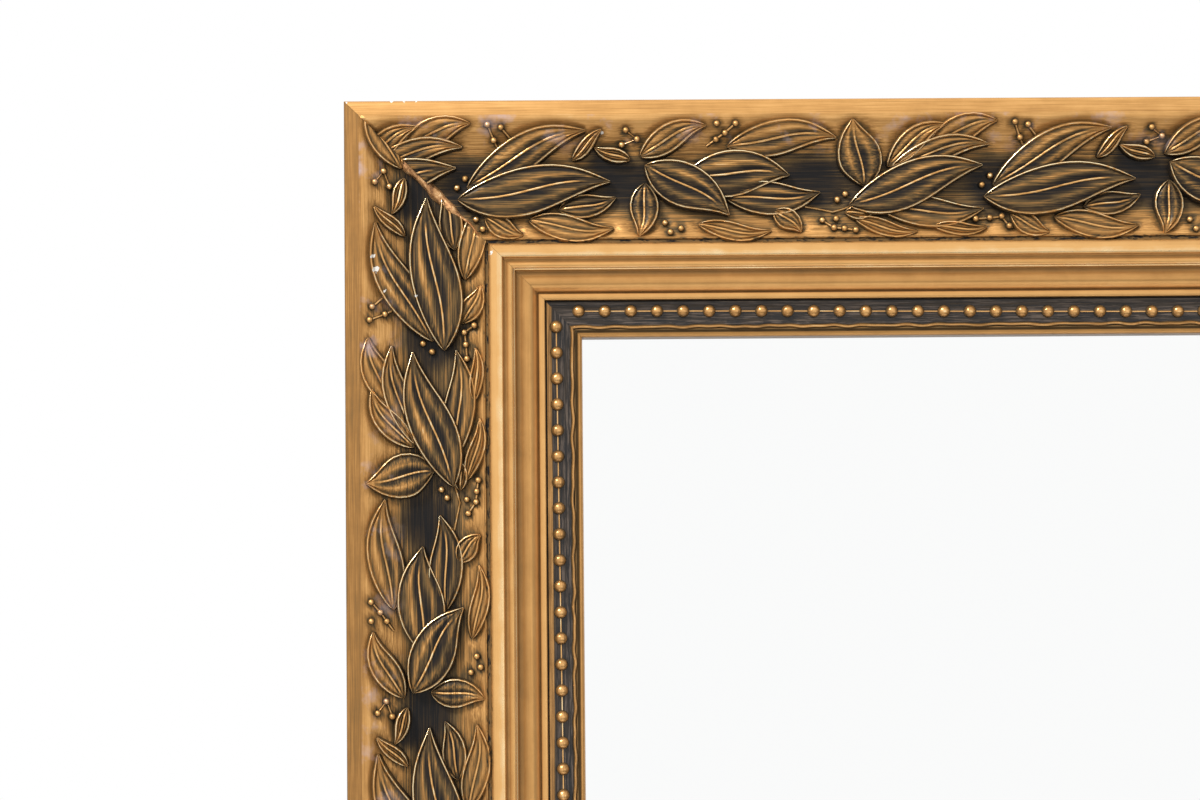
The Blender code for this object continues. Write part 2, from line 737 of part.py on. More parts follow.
def stretcher():
    """The turned rail between the two base blocks, with a vase at its middle."""
    half = POST_INNER - SEATED
    r = STRETCHER_RADIUS
    right_half = [
        (STRETCHER_DOWEL_RADIUS, half + STRETCHER_DOWEL_LENGTH),
        (STRETCHER_DOWEL_RADIUS, half),
        (r * 1.10, half),
        (r * 1.10, half - 0.010, 0.004),
        (r * 0.75, half - 0.013),
        (r * 0.95, 0.105, 0.002),
        (r * 1.15, 0.102),
        (r * 1.15, 0.093, 0.004),
        (r * 0.75, 0.090),
        (r * 0.80, 0.020, 0.010),
        (r * 1.15, 0.017),
        (r * 1.15, 0.010, 0.003),
        (r * 0.95, 0.008),
    ]
    there = outline([(0, half + STRETCHER_DOWEL_LENGTH), *right_half], arc_steps=3)
    back = [Vector((p.x, -p.y)) for p in reversed(there)]
    obj = turned("stretcher", there + back, "gilt_stand")
    along_x(obj, 0, 0, STRETCHER_HEIGHT, 1)
    holes = []
    for way in (1, -1):
        depth = BOLT_GRIP + 2 * HOLE_SLACK
        hole = cylinder("thread", BOLT_RADIUS + SEATED, depth + OVERRUN, "brass", 16)
        end = way * (half + STRETCHER_DOWEL_LENGTH + OVERRUN)
        holes.append(along_x(hole, end, 0, STRETCHER_HEIGHT, -way))
    return combine(obj, "DIFFERENCE", *holes)


def stretcher_bolt(side, way):
    """The bolt through a base block into the stretcher's end, with a low domed head."""
    inside = POST_INNER + STRETCHER_DOWEL_LENGTH - BOLT_GRIP
    length = POST_OUTER + SEATED - inside
    profile = [
        (0, length + BOLT_HEAD_HEIGHT),
        (BOLT_HEAD_RADIUS, length + 0.001, 0.0012),
        (BOLT_HEAD_RADIUS, length),
        (BOLT_RADIUS, length),
        (BOLT_RADIUS, 0),
        (0, 0),
    ]
    obj = turned(f"{side}_stretcher_bolt", outline(profile, arc_steps=4), "brass", 16)
    return along_x(obj, way * inside, 0, STRETCHER_HEIGHT, way)


# The tilt clamps.


def bush(side, way):
    length = BLOCK - 2 * SEATED
    obj = cylinder(f"{side}_bush", BUSH_RADIUS, length, "brass", 16, STUD_RADIUS + RUNNING)
    return along_x(obj, way * (POST_INNER + SEATED), 0, PIVOT_HEIGHT, way)


def spacer(side, way):
    """The hard fibre ring between the frame and the post, which grips when the knob is tight."""
    thickness = SIDE_GAP - 2 * SEATED
    obj = cylinder(f"{side}_spacer", SPACER_RADIUS, thickness, "fibre", 16, STUD_RADIUS + RUNNING)
    return along_x(obj, way * (FRAME_WIDTH / 2 + SEATED), 0, PIVOT_HEIGHT, way)


def knob_washer(side, way):
    bore = STUD_RADIUS + RUNNING
    obj = cylinder(f"{side}_knob_washer", WASHER_RADIUS, WASHER_THICKNESS, "brass", 16, bore)
    return along_x(obj, way * (POST_OUTER + SEATED), 0, PIVOT_HEIGHT, way)


def knob_start():
    return POST_OUTER + 2 * SEATED + WASHER_THICKNESS


def stud(side, way):
    start = FRAME_WIDTH / 2 - STUD_IN_FRAME
    length = knob_start() + STUD_IN_KNOB - start
    obj = cylinder(f"{side}_stud", STUD_RADIUS, length, "brass", 16)
    return along_x(obj, way * start, 0, PIVOT_HEIGHT, way)


def lobe(obj, count, depth, start):
    """Pushes a turned piece's wide part in and out in this many lobes round its axis."""
    for vertex in obj.data.vertices:
        x, y, z = vertex.co
        radius = math.hypot(x, y)
        if radius > start:
            share = (radius - start) / (KNOB_RADIUS - start)
            swell = 1 + depth * share * (math.cos(count * math.atan2(y, x)) - 1) / 2
            vertex.co = (x * swell, y * swell, z)


def knob(side, way):
    """The lobed knob that draws the stud out and clamps the frame, with its blind bore."""
    neck = KNOB_NECK_RADIUS
    bore = STUD_RADIUS + SEATED
    profile = [
        (0, KNOB_LENGTH),
        (0.0030, KNOB_LENGTH - 0.0006),
        (KNOB_RADIUS * 0.62, KNOB_LENGTH - 0.0060, 0.0014),
        (KNOB_RADIUS, KNOB_LENGTH * 0.58, 0.0020),
        (KNOB_RADIUS * 0.80, KNOB_LENGTH * 0.34, 0.0018),
        (neck, KNOB_LENGTH * 0.20, -0.0010),
        (neck + 0.0015, KNOB_LENGTH * 0.14),
        (neck + 0.0015, 0, 0.0010),
        (bore, 0),
        (bore, STUD_IN_KNOB + HOLE_SLACK),
        (0, STUD_IN_KNOB + HOLE_SLACK),
    ]
    obj = turned(f"{side}_knob", outline(profile, arc_steps=3), "brass", 4 * KNOB_LOBES)
    lobe(obj, KNOB_LOBES, KNOB_LOBE_DEPTH * 2, neck + 0.0016)
    return along_x(obj, way * knob_start(), 0, PIVOT_HEIGHT, way)


# The whole.


def build_panel():
    panel = group("mirror_panel", (0, 0, PIVOT_HEIGHT))
    pieces = []
    for side in SIDES:
        pieces.append(rail(side))
        pieces.append(mitred(f"{side}_garland", side, garland_outline(), "gilt_ornament"))
        pieces.append(mitred(f"{side}_beading", side, beading_outline(), "gilt_ornament"))
    pieces.append(pane("mirror_glass", GLASS_THICKNESS, GLASS_BACK, "mirror"))
    pieces.append(pane("backing_board", BOARD_THICKNESS, BOARD_BACK, "hardboard"))
    for vertical in ("top", "bottom"):
        for horizontal in ("left", "right"):
            pieces.append(corner_plate(vertical, horizontal))
    for number, (side, along) in enumerate(clip_places(), 1):
        pieces += [clip(number, side, along), clip_screw(number, side, along)]
    pieces += [insert("left", -1), insert("right", 1)]
    join_group(panel, *pieces)


def build_stand():
    stand = group("stand", (0, 0, 0))
    pieces = [stretcher()]
    for side, way in (("left", -1), ("right", 1)):
        pieces += [post(side, way), finial(side, way), drop(side, way)]
        pieces += [stretcher_bolt(side, way), bush(side, way), spacer(side, way)]
        for end in (-1, 1):
            pieces += [leg(side, way, end), glide(side, way, end)]
    join_group(stand, *pieces)


def build_clamps():
    for side, way in (("left", -1), ("right", 1)):
        travel = group(f"{side}_clamp_travel", (way * POST_OUTER, 0, PIVOT_HEIGHT))
        clamp = group(f"{side}_clamp", (way * knob_start(), 0, PIVOT_HEIGHT))
        join_group(travel, clamp, knob_washer(side, way))
        join_group(clamp, knob(side, way), stud(side, way))


build_panel()
build_stand()
build_clamps()
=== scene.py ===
import math

import bmesh
import bpy
import numpy as np
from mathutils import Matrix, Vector


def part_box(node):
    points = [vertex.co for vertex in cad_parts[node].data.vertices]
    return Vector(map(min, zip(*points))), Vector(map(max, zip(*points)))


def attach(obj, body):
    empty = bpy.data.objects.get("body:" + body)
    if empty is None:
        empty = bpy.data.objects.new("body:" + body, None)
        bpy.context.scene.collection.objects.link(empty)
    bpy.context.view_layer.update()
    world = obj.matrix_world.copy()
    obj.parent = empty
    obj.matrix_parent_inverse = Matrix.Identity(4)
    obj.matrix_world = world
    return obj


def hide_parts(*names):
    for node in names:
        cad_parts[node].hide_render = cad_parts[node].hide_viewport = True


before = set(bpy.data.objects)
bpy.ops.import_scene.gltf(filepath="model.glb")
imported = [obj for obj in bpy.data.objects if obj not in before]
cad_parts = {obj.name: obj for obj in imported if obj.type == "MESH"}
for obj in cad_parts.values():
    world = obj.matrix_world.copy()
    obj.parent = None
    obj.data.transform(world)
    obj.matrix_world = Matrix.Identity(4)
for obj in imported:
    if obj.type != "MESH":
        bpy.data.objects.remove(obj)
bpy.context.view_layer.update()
MM = 0.001

# ---- The four lengths of moulding ---------------------------------------------------------
# A wide picture-frame moulding on a pine core: a flat outer band, a hollow for the garland,
# three stepped reeds, a channel for the beads and a thin lip. It is cut and glued at 45
# degrees, coated with bronze gold and toned with a brown glaze that stays in the grooves.
# The tones across the reeds also paint their shade and highlights.

rail_low, rail_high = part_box("top_rail")
FRAME_LEFT = rail_low.x
FRAME_RIGHT = rail_high.x
FRAME_TOP = rail_high.z
FRAME_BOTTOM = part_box("bottom_rail")[0].z
FRAME_BACK = rail_high.y
FRAME_WIDTH = FRAME_RIGHT - FRAME_LEFT
FRAME_HEIGHT = FRAME_TOP - FRAME_BOTTOM

# each side: the outer corner it starts from, the way it runs, the way inward, its length
SIDES = {
    "top": ((FRAME_LEFT, FRAME_TOP), (1, 0), (0, -1), FRAME_WIDTH),
    "right": ((FRAME_RIGHT, FRAME_TOP), (0, -1), (-1, 0), FRAME_HEIGHT),
    "bottom": ((FRAME_RIGHT, FRAME_BOTTOM), (-1, 0), (0, 1), FRAME_WIDTH),
    "left": ((FRAME_LEFT, FRAME_BOTTOM), (0, 1), (1, 0), FRAME_HEIGHT),
}
RAIL_NODES = {"top": "top_rail", "bottom": "bottom_rail", "left": "left_stile", "right": "right_stile"}


def on_side(side, u, v, h):
    """Points u along a side, v in from its outer edge and h forward of its back."""
    corner, along, inward, _ = SIDES[side]
    x = corner[0] + along[0] * u + inward[0] * v
    z = corner[1] + along[1] * u + inward[1] * v
    return np.stack([x, FRAME_BACK - h, z], axis=-1)


def new_piece(name, points, faces, look, angle=40, **values):
    """A mesh object from arrays of points and faces, with a value at each point for its finish."""
    mesh = bpy.data.meshes.new(name)
    mesh.from_pydata(np.asarray(points).reshape(-1, 3).tolist(), [], [list(f) for f in faces])
    for label, value in values.items():
        value = np.asarray(value, dtype=np.float32)
        kind = "FLOAT" if value.ndim == 1 else "FLOAT_VECTOR"
        layer = mesh.attributes.new(label, kind, "POINT")
        layer.data.foreach_set("value" if value.ndim == 1 else "vector", value.ravel())
    mesh.materials.append(look)
    piece = bpy.data.objects.new(name, mesh)
    bpy.context.scene.collection.objects.link(piece)
    mesh.shade_smooth()
    mesh.set_sharp_from_angle(angle=math.radians(angle))
    return piece


def ring_quads(rows, columns):
    """The quads between closed rings of points held row by row."""
    row = np.arange(rows - 1)[:, None] * columns
    column = np.arange(columns)[None, :]
    beside = (column + 1) % columns
    quads = [row + column, row + beside, row + columns + beside, row + columns + column]
    return np.stack(np.broadcast_arrays(*quads), axis=-1).reshape(-1, 4)


def tube_faces(rows, columns, way=-1):
    """The faces of a tube of rings, with a cap at each end; way is its sense of turning."""
    first, last = list(range(columns)), list(range((rows - 1) * columns, rows * columns))
    return ring_quads(rows, columns)[:, ::way].tolist() + [first[::-way], last[::way]]


def fit(piece, body, slot, *nodes):
    """The piece moves with a body and stands for these nodes. Its slot is not used."""
    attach(piece, body)
    if nodes:
        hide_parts(*nodes)


def curve_points(start, end, rise, steps):
    """Points on the arc between two section points, rising this far above their line."""
    t = np.linspace(0, 1, steps + 1)[1:, None]
    line = np.array(start) * (1 - t) + np.array(end) * t
    across = np.array([end[0] - start[0], end[1] - start[1]])
    normal = np.array([-across[1], across[0]]) / np.hypot(*across)
    return line + normal * rise * 4 * t * (1 - t)


# the section, in millimetres: distance in, height, tone of the gold, rise of the arc that ends there.
# On the reeds the tone also paints light: painted shade in the hollow under the astragal and painted
# highlights on the fillet, the astragal and the ovolo
SECTION = [
    (0.0, 26.8, 0.60, 0.0), (0.7, 28.4, 0.72, 0.30), (6.2, 29.72, 0.70, 0.08), (6.5, 27.4, 0.60, 0.0),
    (54.9, 24.6, 0.55, -8.2), (55.2, 26.85, 0.55, 0.0), (55.9, 26.8, 0.58, 0.0),
    (56.4, 26.2, 0.42, 0.0), (57.3, 26.2, 0.46, -0.1), (58.0, 27.9, 0.66, 0.15),
    (59.0, 28.3, 0.79, 0.15), (62.5, 28.2, 0.90, 0.10), (63.2, 27.4, 0.74, 0.15),
    (63.7, 26.4, 0.58, -0.15), (64.7, 26.1, 0.62, -0.05), (67.6, 25.2, 0.95, 1.05),
    (68.0, 24.9, 0.80, 0.05), (68.6, 23.9, 0.50, -0.1), (70.3, 23.7, 0.54, -0.25),
    (75.9, 22.6, 0.84, 1.55), (76.8, 21.2, 0.60, 0.1), (77.2, 21.0, 0.40, -0.1),
    (77.7, 21.9, 0.70, 0.1), (79.6, 21.9, 0.82, 0.15), (80.0, 21.3, 0.60, 0.1), (80.2, 17.0, 0.12, 0.0),
    (91.3, 17.0, 0.12, 0.0), (91.6, 18.0, 0.55, 0.0), (92.1, 18.2, 0.34, 0.1), (92.9, 17.7, 0.30, -0.1),
    (93.4, 18.5, 0.66, 0.1), (94.6, 17.6, 0.70, 0.25), (95.0, 15.6, 0.50, 0.1),
]
REBATE = [(95.0, 9.0, 0.4, 0.0), (87.0, 9.0, 0.3, 0.0), (87.0, 0.0, 0.3, 0.0), (0.0, 0.0, 0.3, 0.0),
          (0.0, 0.6, 0.50, 0.0)]
BARE_MEMBERS = 3  # the last members but one, behind the rebate, are left ungilded
ARC_STEP, MOST_ARC_STEPS = 0.45, 16


def section_points(members):
    """The closed outline of the section with its tone, arcs broken into short steps."""
    found = [members[0][:3]]
    for (v0, h0, tone0, _), (v1, h1, tone1, rise) in zip(members, members[1:]):
        steps = min(MOST_ARC_STEPS, round(math.dist((v0, h0), (v1, h1)) / ARC_STEP)) if rise else 1
        steps = max(1, steps)
        arc = curve_points((v0, h0), (v1, h1), rise, steps)
        tones = np.linspace(tone0, tone1, steps + 1)[1:]
        found += [(*point, tone) for point, tone in zip(arc, tones)]
    return np.array(found)


outline = section_points(SECTION + REBATE)
RAIL_STEP = 12 * MM
MITRE_GAP = 0.06 * MM
# the band is darker on some lengths than on others
BAND_DARKENING = {"top": 0.0, "left": 0.17, "right": 0.09, "bottom": 0.05}
BAND_END = 8.0


def moulding_piece(side, look):
    """One length of the moulding, swept between its two mitres."""
    length = SIDES[side][3]
    v = outline[:, 0] * MM
    h = outline[:, 1] * MM
    rows = round(length / RAIL_STEP) + 1
    share = np.linspace(0, 1, rows)[:, None]
    u = (v + MITRE_GAP) + (length - 2 * (v + MITRE_GAP)) * share
    tone = outline[:, 2] - BAND_DARKENING[side] * (outline[:, 0] < BAND_END)
    v, h, tone = (np.broadcast_to(x, u.shape) for x in (v, h, tone))
    points = on_side(side, u, v, h)
    columns = len(outline)
    rail = np.stack([u, v, h], axis=-1).reshape(-1, 3)
    piece = new_piece(RAIL_NODES[side] + "_moulding", points, tube_faces(rows, columns), look,
                      angle=28, rail=rail, tone=tone.ravel())
    piece.data.materials.append(bare_pine)
    strip = np.arange(columns)
    bare = (strip >= columns - 2 - BARE_MEMBERS) & (strip < columns - 2)
    index = np.concatenate([np.tile(bare, rows - 1), [False, False]]).astype(np.int32)
    piece.data.polygons.foreach_set("material_index", index)
    return piece


def link(tree, source, target):
    tree.links.new(source, target)


def add(tree, kind, settings=None, **inputs):
    """A shader node, its inputs set to numbers or joined to other nodes' outputs."""
    node = tree.nodes.new("ShaderNode" + kind)
    for key, value in (settings or {}).items():
        setattr(node, key, value)
    for key, value in inputs.items():
        socket = node.inputs[int(key[1:]) if key[0] == "i" and key[1:].isdigit() else key.replace("_", " ")]
        if isinstance(value, bpy.types.NodeSocket):
            tree.links.new(value, socket)
        else:
            socket.default_value = value
    return node


def maths(tree, operation, first, second=0.0, clamp=False):
    node = add(tree, "Math", {"operation": operation, "use_clamp": clamp}, i0=first, i1=second)
    return node.outputs[0]


def vectors(tree, operation, first, second, output="Vector"):
    return add(tree, "VectorMath", {"operation": operation}, i0=first, i1=second).outputs[output]


def span(tree, value, low, high, start=0.0, end=1.0):
    """A value mapped from one range to another and held at both ends."""
    return add(tree, "MapRange", Value=value, i1=low, i2=high, i3=start, i4=end).outputs[0]


def ramp(tree, value, *stops):
    """A colour ramp: each stop is its place and its colour, a grey where it is one number."""
    node = add(tree, "ValToRGB", Fac=value)
    places = node.color_ramp.elements
    while len(places) < len(stops):
        places.new(0.5)
    for element, (place, colour) in zip(places, stops):
        element.position = place
        grey = (colour,) * 3 if isinstance(colour, (int, float)) else colour
        element.color = (*grey, 1)
    return node.outputs[0]


def new_group(name, inputs, outputs):
    """A shader node group with these sockets, and its two end nodes."""
    tree = bpy.data.node_groups.new(name, "ShaderNodeTree")
    kinds = {"vector": "NodeSocketVector", "value": "NodeSocketFloat", "colour": "NodeSocketColor"}
    for label, kind, default in inputs:
        socket = tree.interface.new_socket(name=label, in_out="INPUT", socket_type=kinds[kind])
        if default is not None:
            socket.default_value = default
    for label, kind in outputs:
        tree.interface.new_socket(name=label, in_out="OUTPUT", socket_type=kinds[kind])
    return tree, tree.nodes.new("NodeGroupInput"), tree.nodes.new("NodeGroupOutput")


def streaks(tree, place, along, across, detail=3.0, roughness=0.6):
    """Fine streaks that run with the length of a piece, as a value round one half."""
    drawn = vectors(tree, "MULTIPLY", place, (along, across, across))
    noise = add(tree, "TexNoise", Vector=drawn, Scale=1.0, Detail=detail, Roughness=roughness)
    return noise.outputs["Fac"]


NOISE_SPREAD = 2.6  # noise stays near its middle, so its swing is spread this much

# bronze gold over black and brown: Tone runs from the black in a groove to the worn bright rims, and carries
# painted shade and highlights where a piece's tones hold them
aged_gold, start, end = new_group(
    "Aged gold",
    [("Place", "vector", None), ("Tone", "value", 0.7), ("Streaks", "value", 0.3), ("Mottle", "value", 0.1)],
    [("Color", "colour"), ("Roughness", "value"), ("Metallic", "value"), ("Height", "value")],
)
place, tone = start.outputs["Place"], start.outputs["Tone"]
broad = streaks(aged_gold, place, 20.0, 850.0)
fine = streaks(aged_gold, place, 45.0, 2300.0, 2.0)
mottle = streaks(aged_gold, place, 90.0, 110.0, 4.0)
broad, fine = maths(aged_gold, "MULTIPLY", broad, 0.4), maths(aged_gold, "MULTIPLY", fine, 0.6)
brushed = maths(aged_gold, "ADD", broad, fine)
streaked_tone = tone
for noise, amount in ((brushed, "Streaks"), (mottle, "Mottle")):
    swing = maths(aged_gold, "MULTIPLY", maths(aged_gold, "SUBTRACT", noise, 0.5), start.outputs[amount])
    swing = maths(aged_gold, "MULTIPLY", swing, NOISE_SPREAD)
    streaked_tone = maths(aged_gold, "ADD", streaked_tone, swing, clamp=amount == "Mottle")
colour = ramp(
    aged_gold, streaked_tone,
    (0.0, (0.010, 0.009, 0.009)),
    (0.22, (0.040, 0.026, 0.014)),
    (0.40, (0.130, 0.082, 0.034)),
    (0.55, (0.320, 0.158, 0.048)),
    (0.70, (0.570, 0.297, 0.097)),
    (0.84, (0.780, 0.440, 0.160)),
    (1.0, (1.000, 0.860, 0.540)),
)
link(aged_gold, colour, end.inputs["Color"])
link(aged_gold, ramp(aged_gold, streaked_tone, (0.0, 0.30), (0.45, 0.42), (0.85, 0.36), (1.0, 0.24)),
     end.inputs["Roughness"])
link(aged_gold, ramp(aged_gold, streaked_tone, (0.1, 0.05), (0.6, 0.55), (1.0, 0.8)), end.inputs["Metallic"])
link(aged_gold, brushed, end.inputs["Height"])


def new_material(name, base=(0.5, 0.5, 0.5), roughness=0.5, metallic=0.0, specular=0.5):
    """A material with a plain Principled shader, its tree and that shader."""
    look = bpy.data.materials.new(name)
    look.use_nodes = True
    shader = look.node_tree.nodes["Principled BSDF"]
    shader.inputs["Base Color"].default_value = (*base, 1)
    shader.inputs["Roughness"].default_value = roughness
    shader.inputs["Metallic"].default_value = metallic
    shader.inputs["Specular IOR Level"].default_value = specular
    return look, look.node_tree, shader


def attribute(tree, name, output="Fac"):
    return add(tree, "Attribute", {"attribute_name": name}).outputs[output]


def bump(tree, shader, height, strength, distance):
    node = add(tree, "Bump", Height=height, Strength=strength, Distance=distance)
    link(tree, node.outputs[0], shader.inputs["Normal"])


def mix_colour(tree, factor, first, second):
    node = add(tree, "Mix", {"data_type": "RGBA"}, i0=factor, i6=first, i7=second)
    return node.outputs[2]


# spots where the gilding is knocked off and the white gesso shows, and two painted highlights, white
# glints on leaves at (28.7, 78.5) and (103.5, 13.2). From three of the frame's corners, in millimetres:
# distance across, distance up or down, reach
CHIPS_AND_HIGHLIGHTS = {
    (FRAME_LEFT, 1, FRAME_TOP, -1): [
        (11.3, 62.5, 1.2), (12.7, 68.0, 1.4), (16.0, 76.5, 0.8), (1.0, 0.8, 0.5), (83.2, 84.2, 1.6),
        (58.7, 61.2, 0.9), (28.7, 78.5, 0.9), (103.5, 13.2, 0.8), (19.0, 0.2, 0.6), (24.0, 0.2, 0.7),
        (29.0, 0.2, 0.6),
    ],
    (FRAME_RIGHT, -1, FRAME_BOTTOM, 1): [(0.8, 1.0, 1.4), (13.0, 210.0, 1.3)],
    (FRAME_LEFT, 1, FRAME_BOTTOM, 1): [(311.0, 9.0, 1.2)],
}
NO_SPOT = -2.0
SPOT_EDGE, RAGGED_MIDDLE, RAGGEDNESS = 1.3, 0.38, 3.2
SPOTTED_DEPTH = (-9 * MM, -6 * MM)  # the spots fade out between these depths, so none shows behind
gesso_chips_and_highlights, start, end = new_group("Gesso chips and highlights", [("Place", "vector", None)], [("Mask", "value")])
ragged = add(gesso_chips_and_highlights, "TexNoise", Vector=start.outputs["Place"], Scale=700.0, Detail=4.0)
flat = vectors(gesso_chips_and_highlights, "MULTIPLY", start.outputs["Place"], (1, 0, 1))
mask = NO_SPOT
for (corner_x, way_x, corner_z, way_z), spots in CHIPS_AND_HIGHLIGHTS.items():
    for out, up, reach in spots:
        middle = (corner_x + way_x * out * MM, 0, corner_z + way_z * up * MM)
        away = vectors(gesso_chips_and_highlights, "DISTANCE", flat, middle, "Value")
        inside = maths(gesso_chips_and_highlights, "SUBTRACT", SPOT_EDGE, maths(gesso_chips_and_highlights, "DIVIDE", away, reach * MM))
        mask = maths(gesso_chips_and_highlights, "MAXIMUM", mask, inside)
tear = maths(gesso_chips_and_highlights, "SUBTRACT", ragged.outputs["Fac"], RAGGED_MIDDLE)
tear = maths(gesso_chips_and_highlights, "MULTIPLY", tear, RAGGEDNESS)
edge = maths(gesso_chips_and_highlights, "SUBTRACT", mask, tear)
white = span(gesso_chips_and_highlights, edge, 0.05, 0.2)
depth = add(gesso_chips_and_highlights, "SeparateXYZ", Vector=start.outputs["Place"]).outputs["Y"]
front = span(gesso_chips_and_highlights, depth, *SPOTTED_DEPTH, 1.0, 0.0)
link(gesso_chips_and_highlights, maths(gesso_chips_and_highlights, "MULTIPLY", white, front), end.inputs["Mask"])
GESSO_AND_HIGHLIGHT_WHITE = (0.72, 0.69, 0.63, 1)
GILDING_RELIEF = 0.35


def gilded(name, place, tone, streak, mottle_amount, relief=0.00012, with_chips_and_highlights=True, overlay=None, gloss=0.15,
           polish=1.0):
    """A material of aged gold; place, tone and streak are made by functions of its own tree."""
    look, tree, shader = new_material(name, specular=gloss)
    gold = tree.nodes.new("ShaderNodeGroup")
    gold.node_tree = aged_gold
    link(tree, place(tree), gold.inputs["Place"])
    link(tree, tone(tree), gold.inputs["Tone"])
    if callable(streak):
        link(tree, streak(tree), gold.inputs["Streaks"])
    else:
        gold.inputs["Streaks"].default_value = streak
    gold.inputs["Mottle"].default_value = mottle_amount
    colour, metallic = gold.outputs["Color"], gold.outputs["Metallic"]
    # white gesso where the chips are, and painted highlights at two of the spots
    if with_chips_and_highlights:
        chips_and_highlights_node = tree.nodes.new("ShaderNodeGroup")
        chips_and_highlights_node.node_tree = gesso_chips_and_highlights
        link(tree, add(tree, "TexCoord").outputs["Object"], chips_and_highlights_node.inputs["Place"])
        colour = mix_colour(tree, chips_and_highlights_node.outputs["Mask"], colour, GESSO_AND_HIGHLIGHT_WHITE)
        kept = maths(tree, "SUBTRACT", 1.0, chips_and_highlights_node.outputs["Mask"])
        metallic = maths(tree, "MULTIPLY", metallic, kept)
    if overlay:
        colour = overlay(tree, colour)
    link(tree, colour, shader.inputs["Base Color"])
    link(tree, maths(tree, "MULTIPLY", gold.outputs["Roughness"], polish), shader.inputs["Roughness"])
    link(tree, metallic, shader.inputs["Metallic"])
    bump(tree, shader, gold.outputs["Height"], GILDING_RELIEF, relief)
    return look


def rail_place(tree):
    return attribute(tree, "rail", "Vector")


def across_rail(tree):
    """How far a point of the moulding lies in from its outer edge."""
    return add(tree, "SeparateXYZ", Vector=rail_place(tree)).outputs["Y"]


GROOVE_PLACE = 56.7 * MM
DIRT = 0.45


def moulding_tone(tree):
    """The tone along the section, with dirt specks in the groove below the garland."""
    from_groove = maths(tree, "ABSOLUTE", maths(tree, "SUBTRACT", across_rail(tree), GROOVE_PLACE))
    near = span(tree, from_groove, 0.0005, 0.0016, 1.0, 0.0)
    specks = span(tree, streaks(tree, rail_place(tree), 240.0, 900.0), 0.52, 0.62)
    dirt = maths(tree, "MULTIPLY", maths(tree, "MULTIPLY", near, specks), DIRT)
    return maths(tree, "SUBTRACT", attribute(tree, "tone"), dirt)


def band_streaks(tree):
    """Brush streaks are strong on the flat band and faint on the polished reeds."""
    return span(tree, across_rail(tree), 0.009, 0.057, 0.20, 0.05)


# the back of the pine core, rubbed with a thin brown wash
bare_pine, tree, shader = new_material("washed_pine", roughness=0.75, specular=0.25)
along_grain = streaks(tree, rail_place(tree), 9.0, 330.0, 5.0, 0.7)
link(tree, ramp(tree, along_grain, (0.30, (0.095, 0.050, 0.024)), (0.46, (0.230, 0.132, 0.064)),
                (0.60, (0.330, 0.205, 0.108)), (0.75, (0.430, 0.290, 0.160))), shader.inputs["Base Color"])
bump(tree, shader, along_grain, 0.6, 0.0003)

moulding_gold = gilded("moulding_gold", rail_place, moulding_tone, band_streaks, 0.06, polish=0.85)
for side in SIDES:
    fit(moulding_piece(side, moulding_gold), "mirror_panel", "gilt_moulding", RAIL_NODES[side])

# ---- The garlands -------------------------------------------------------------------------
# Laurel leaves and berries pressed in compo from a roller die, one strip in the hollow of each
# length, glued down and trimmed at the mitres. Black and brown glaze is wiped along the rail,
# so that the leaf rims and ribs come through gold and the ground between the leaves stays black.

GARLAND_START, GARLAND_END = 6.0, 55.7
HOLLOW_EDGE = 8.2  # where the band rolls over into the hollow
REPEAT = 212.0
# where the first knot of each length falls, from the start of that length
FIRST_KNOT = {"top": 114.8, "left": 1257.2 - 6 * REPEAT, "right": 60.0, "bottom": 150.0}

# leaves of one repeat: foot and tip (along, in), width, bend, layer
LEAVES = [
    ((0.0, 24.0), (-14.4, 19.0), 5, 0.5, 0),
    ((5.9, 33.3), (3.2, 55.0), 11, 1.0, 0),
    ((38.3, 39.4), (76.5, 37.3), 13, -1.5, 0),
    ((27.3, 50.0), (56.5, 52.8), 7, -2.0, 0),
    ((57.6, 44.9), (68.6, 53.7), 8, 1.0, 0),
    ((39.0, 18.9), (83.0, 15.7), 13, 2.0, 0),
    ((3.9, 22.8), (30.4, 10.8), 10, 2.0, 1),
    ((21.6, 30.5), (64.1, 30.6), 18, 1.0, 1),
    ((5.9, 26.3), (39.6, 46.6), 17, 1.5, 2),
    ((94.5, 35.3), (89.5, 8.4), 17, 0.0, 0),
    ((120.3, 18.7), (147.8, 9.4), 11, 1.5, 0),
    ((103.8, 27.3), (127.0, 10.8), 9, 2.5, 1),
    ((105.0, 28.0), (144.5, 18.7), 10, 2.5, 1),
    ((99.0, 43.2), (142.6, 44.2), 12, -2.0, 0),
    ((86.4, 45.6), (98.4, 45.2), 5, -0.5, 0),
    ((90.5, 48.2), (115.4, 53.5), 6, -1.5, 0),
    ((122.3, 51.5), (143.5, 51.9), 5, -1.0, 0),
    ((88.0, 43.0), (141.9, 27.0), 17, 1.5, 2),
    ((183.0, 44.0), (206.2, 38.9), 9, -1.0, 0),
    ((153.4, 46.6), (168.7, 54.2), 8, -1.0, 0),
    ((171.0, 48.0), (205.0, 51.5), 10, -2.0, 0),
    ((188.6, 24.0), (200.4, 12.0), 4.5, 0.0, 0),
    ((146.4, 35.0), (193.9, 12.5), 14, 3.0, 1),
    ((142.6, 39.6), (203.9, 32.8), 18.4, 0.5, 2),
]
# berries of one repeat: along, in
BERRIES = [
    (13.8, 49.4), (15.9, 53.3), (20.2, 51.8), (34.7, 10.1), (42.3, 10.1), (38.1, 13.6), (34.5, 16.1),
    (-1.8, 12.4), (2.7, 15.8), (-3.4, 18.0), (86.8, 38.0), (83.5, 40.3), (82.8, 48.2), (95.8, 25.4),
    (77.2, 48.7), (81.8, 51.9), (86.0, 52.2), (90.5, 52.9), (145.5, 31.0), (142.2, 34.6), (148.2, 42.6),
    (139.2, 48.6), (144.9, 48.2), (149.8, 47.6), (152.5, 51.6), (154.8, 10.1), (160.1, 11.1), (157.2, 16.0),
]


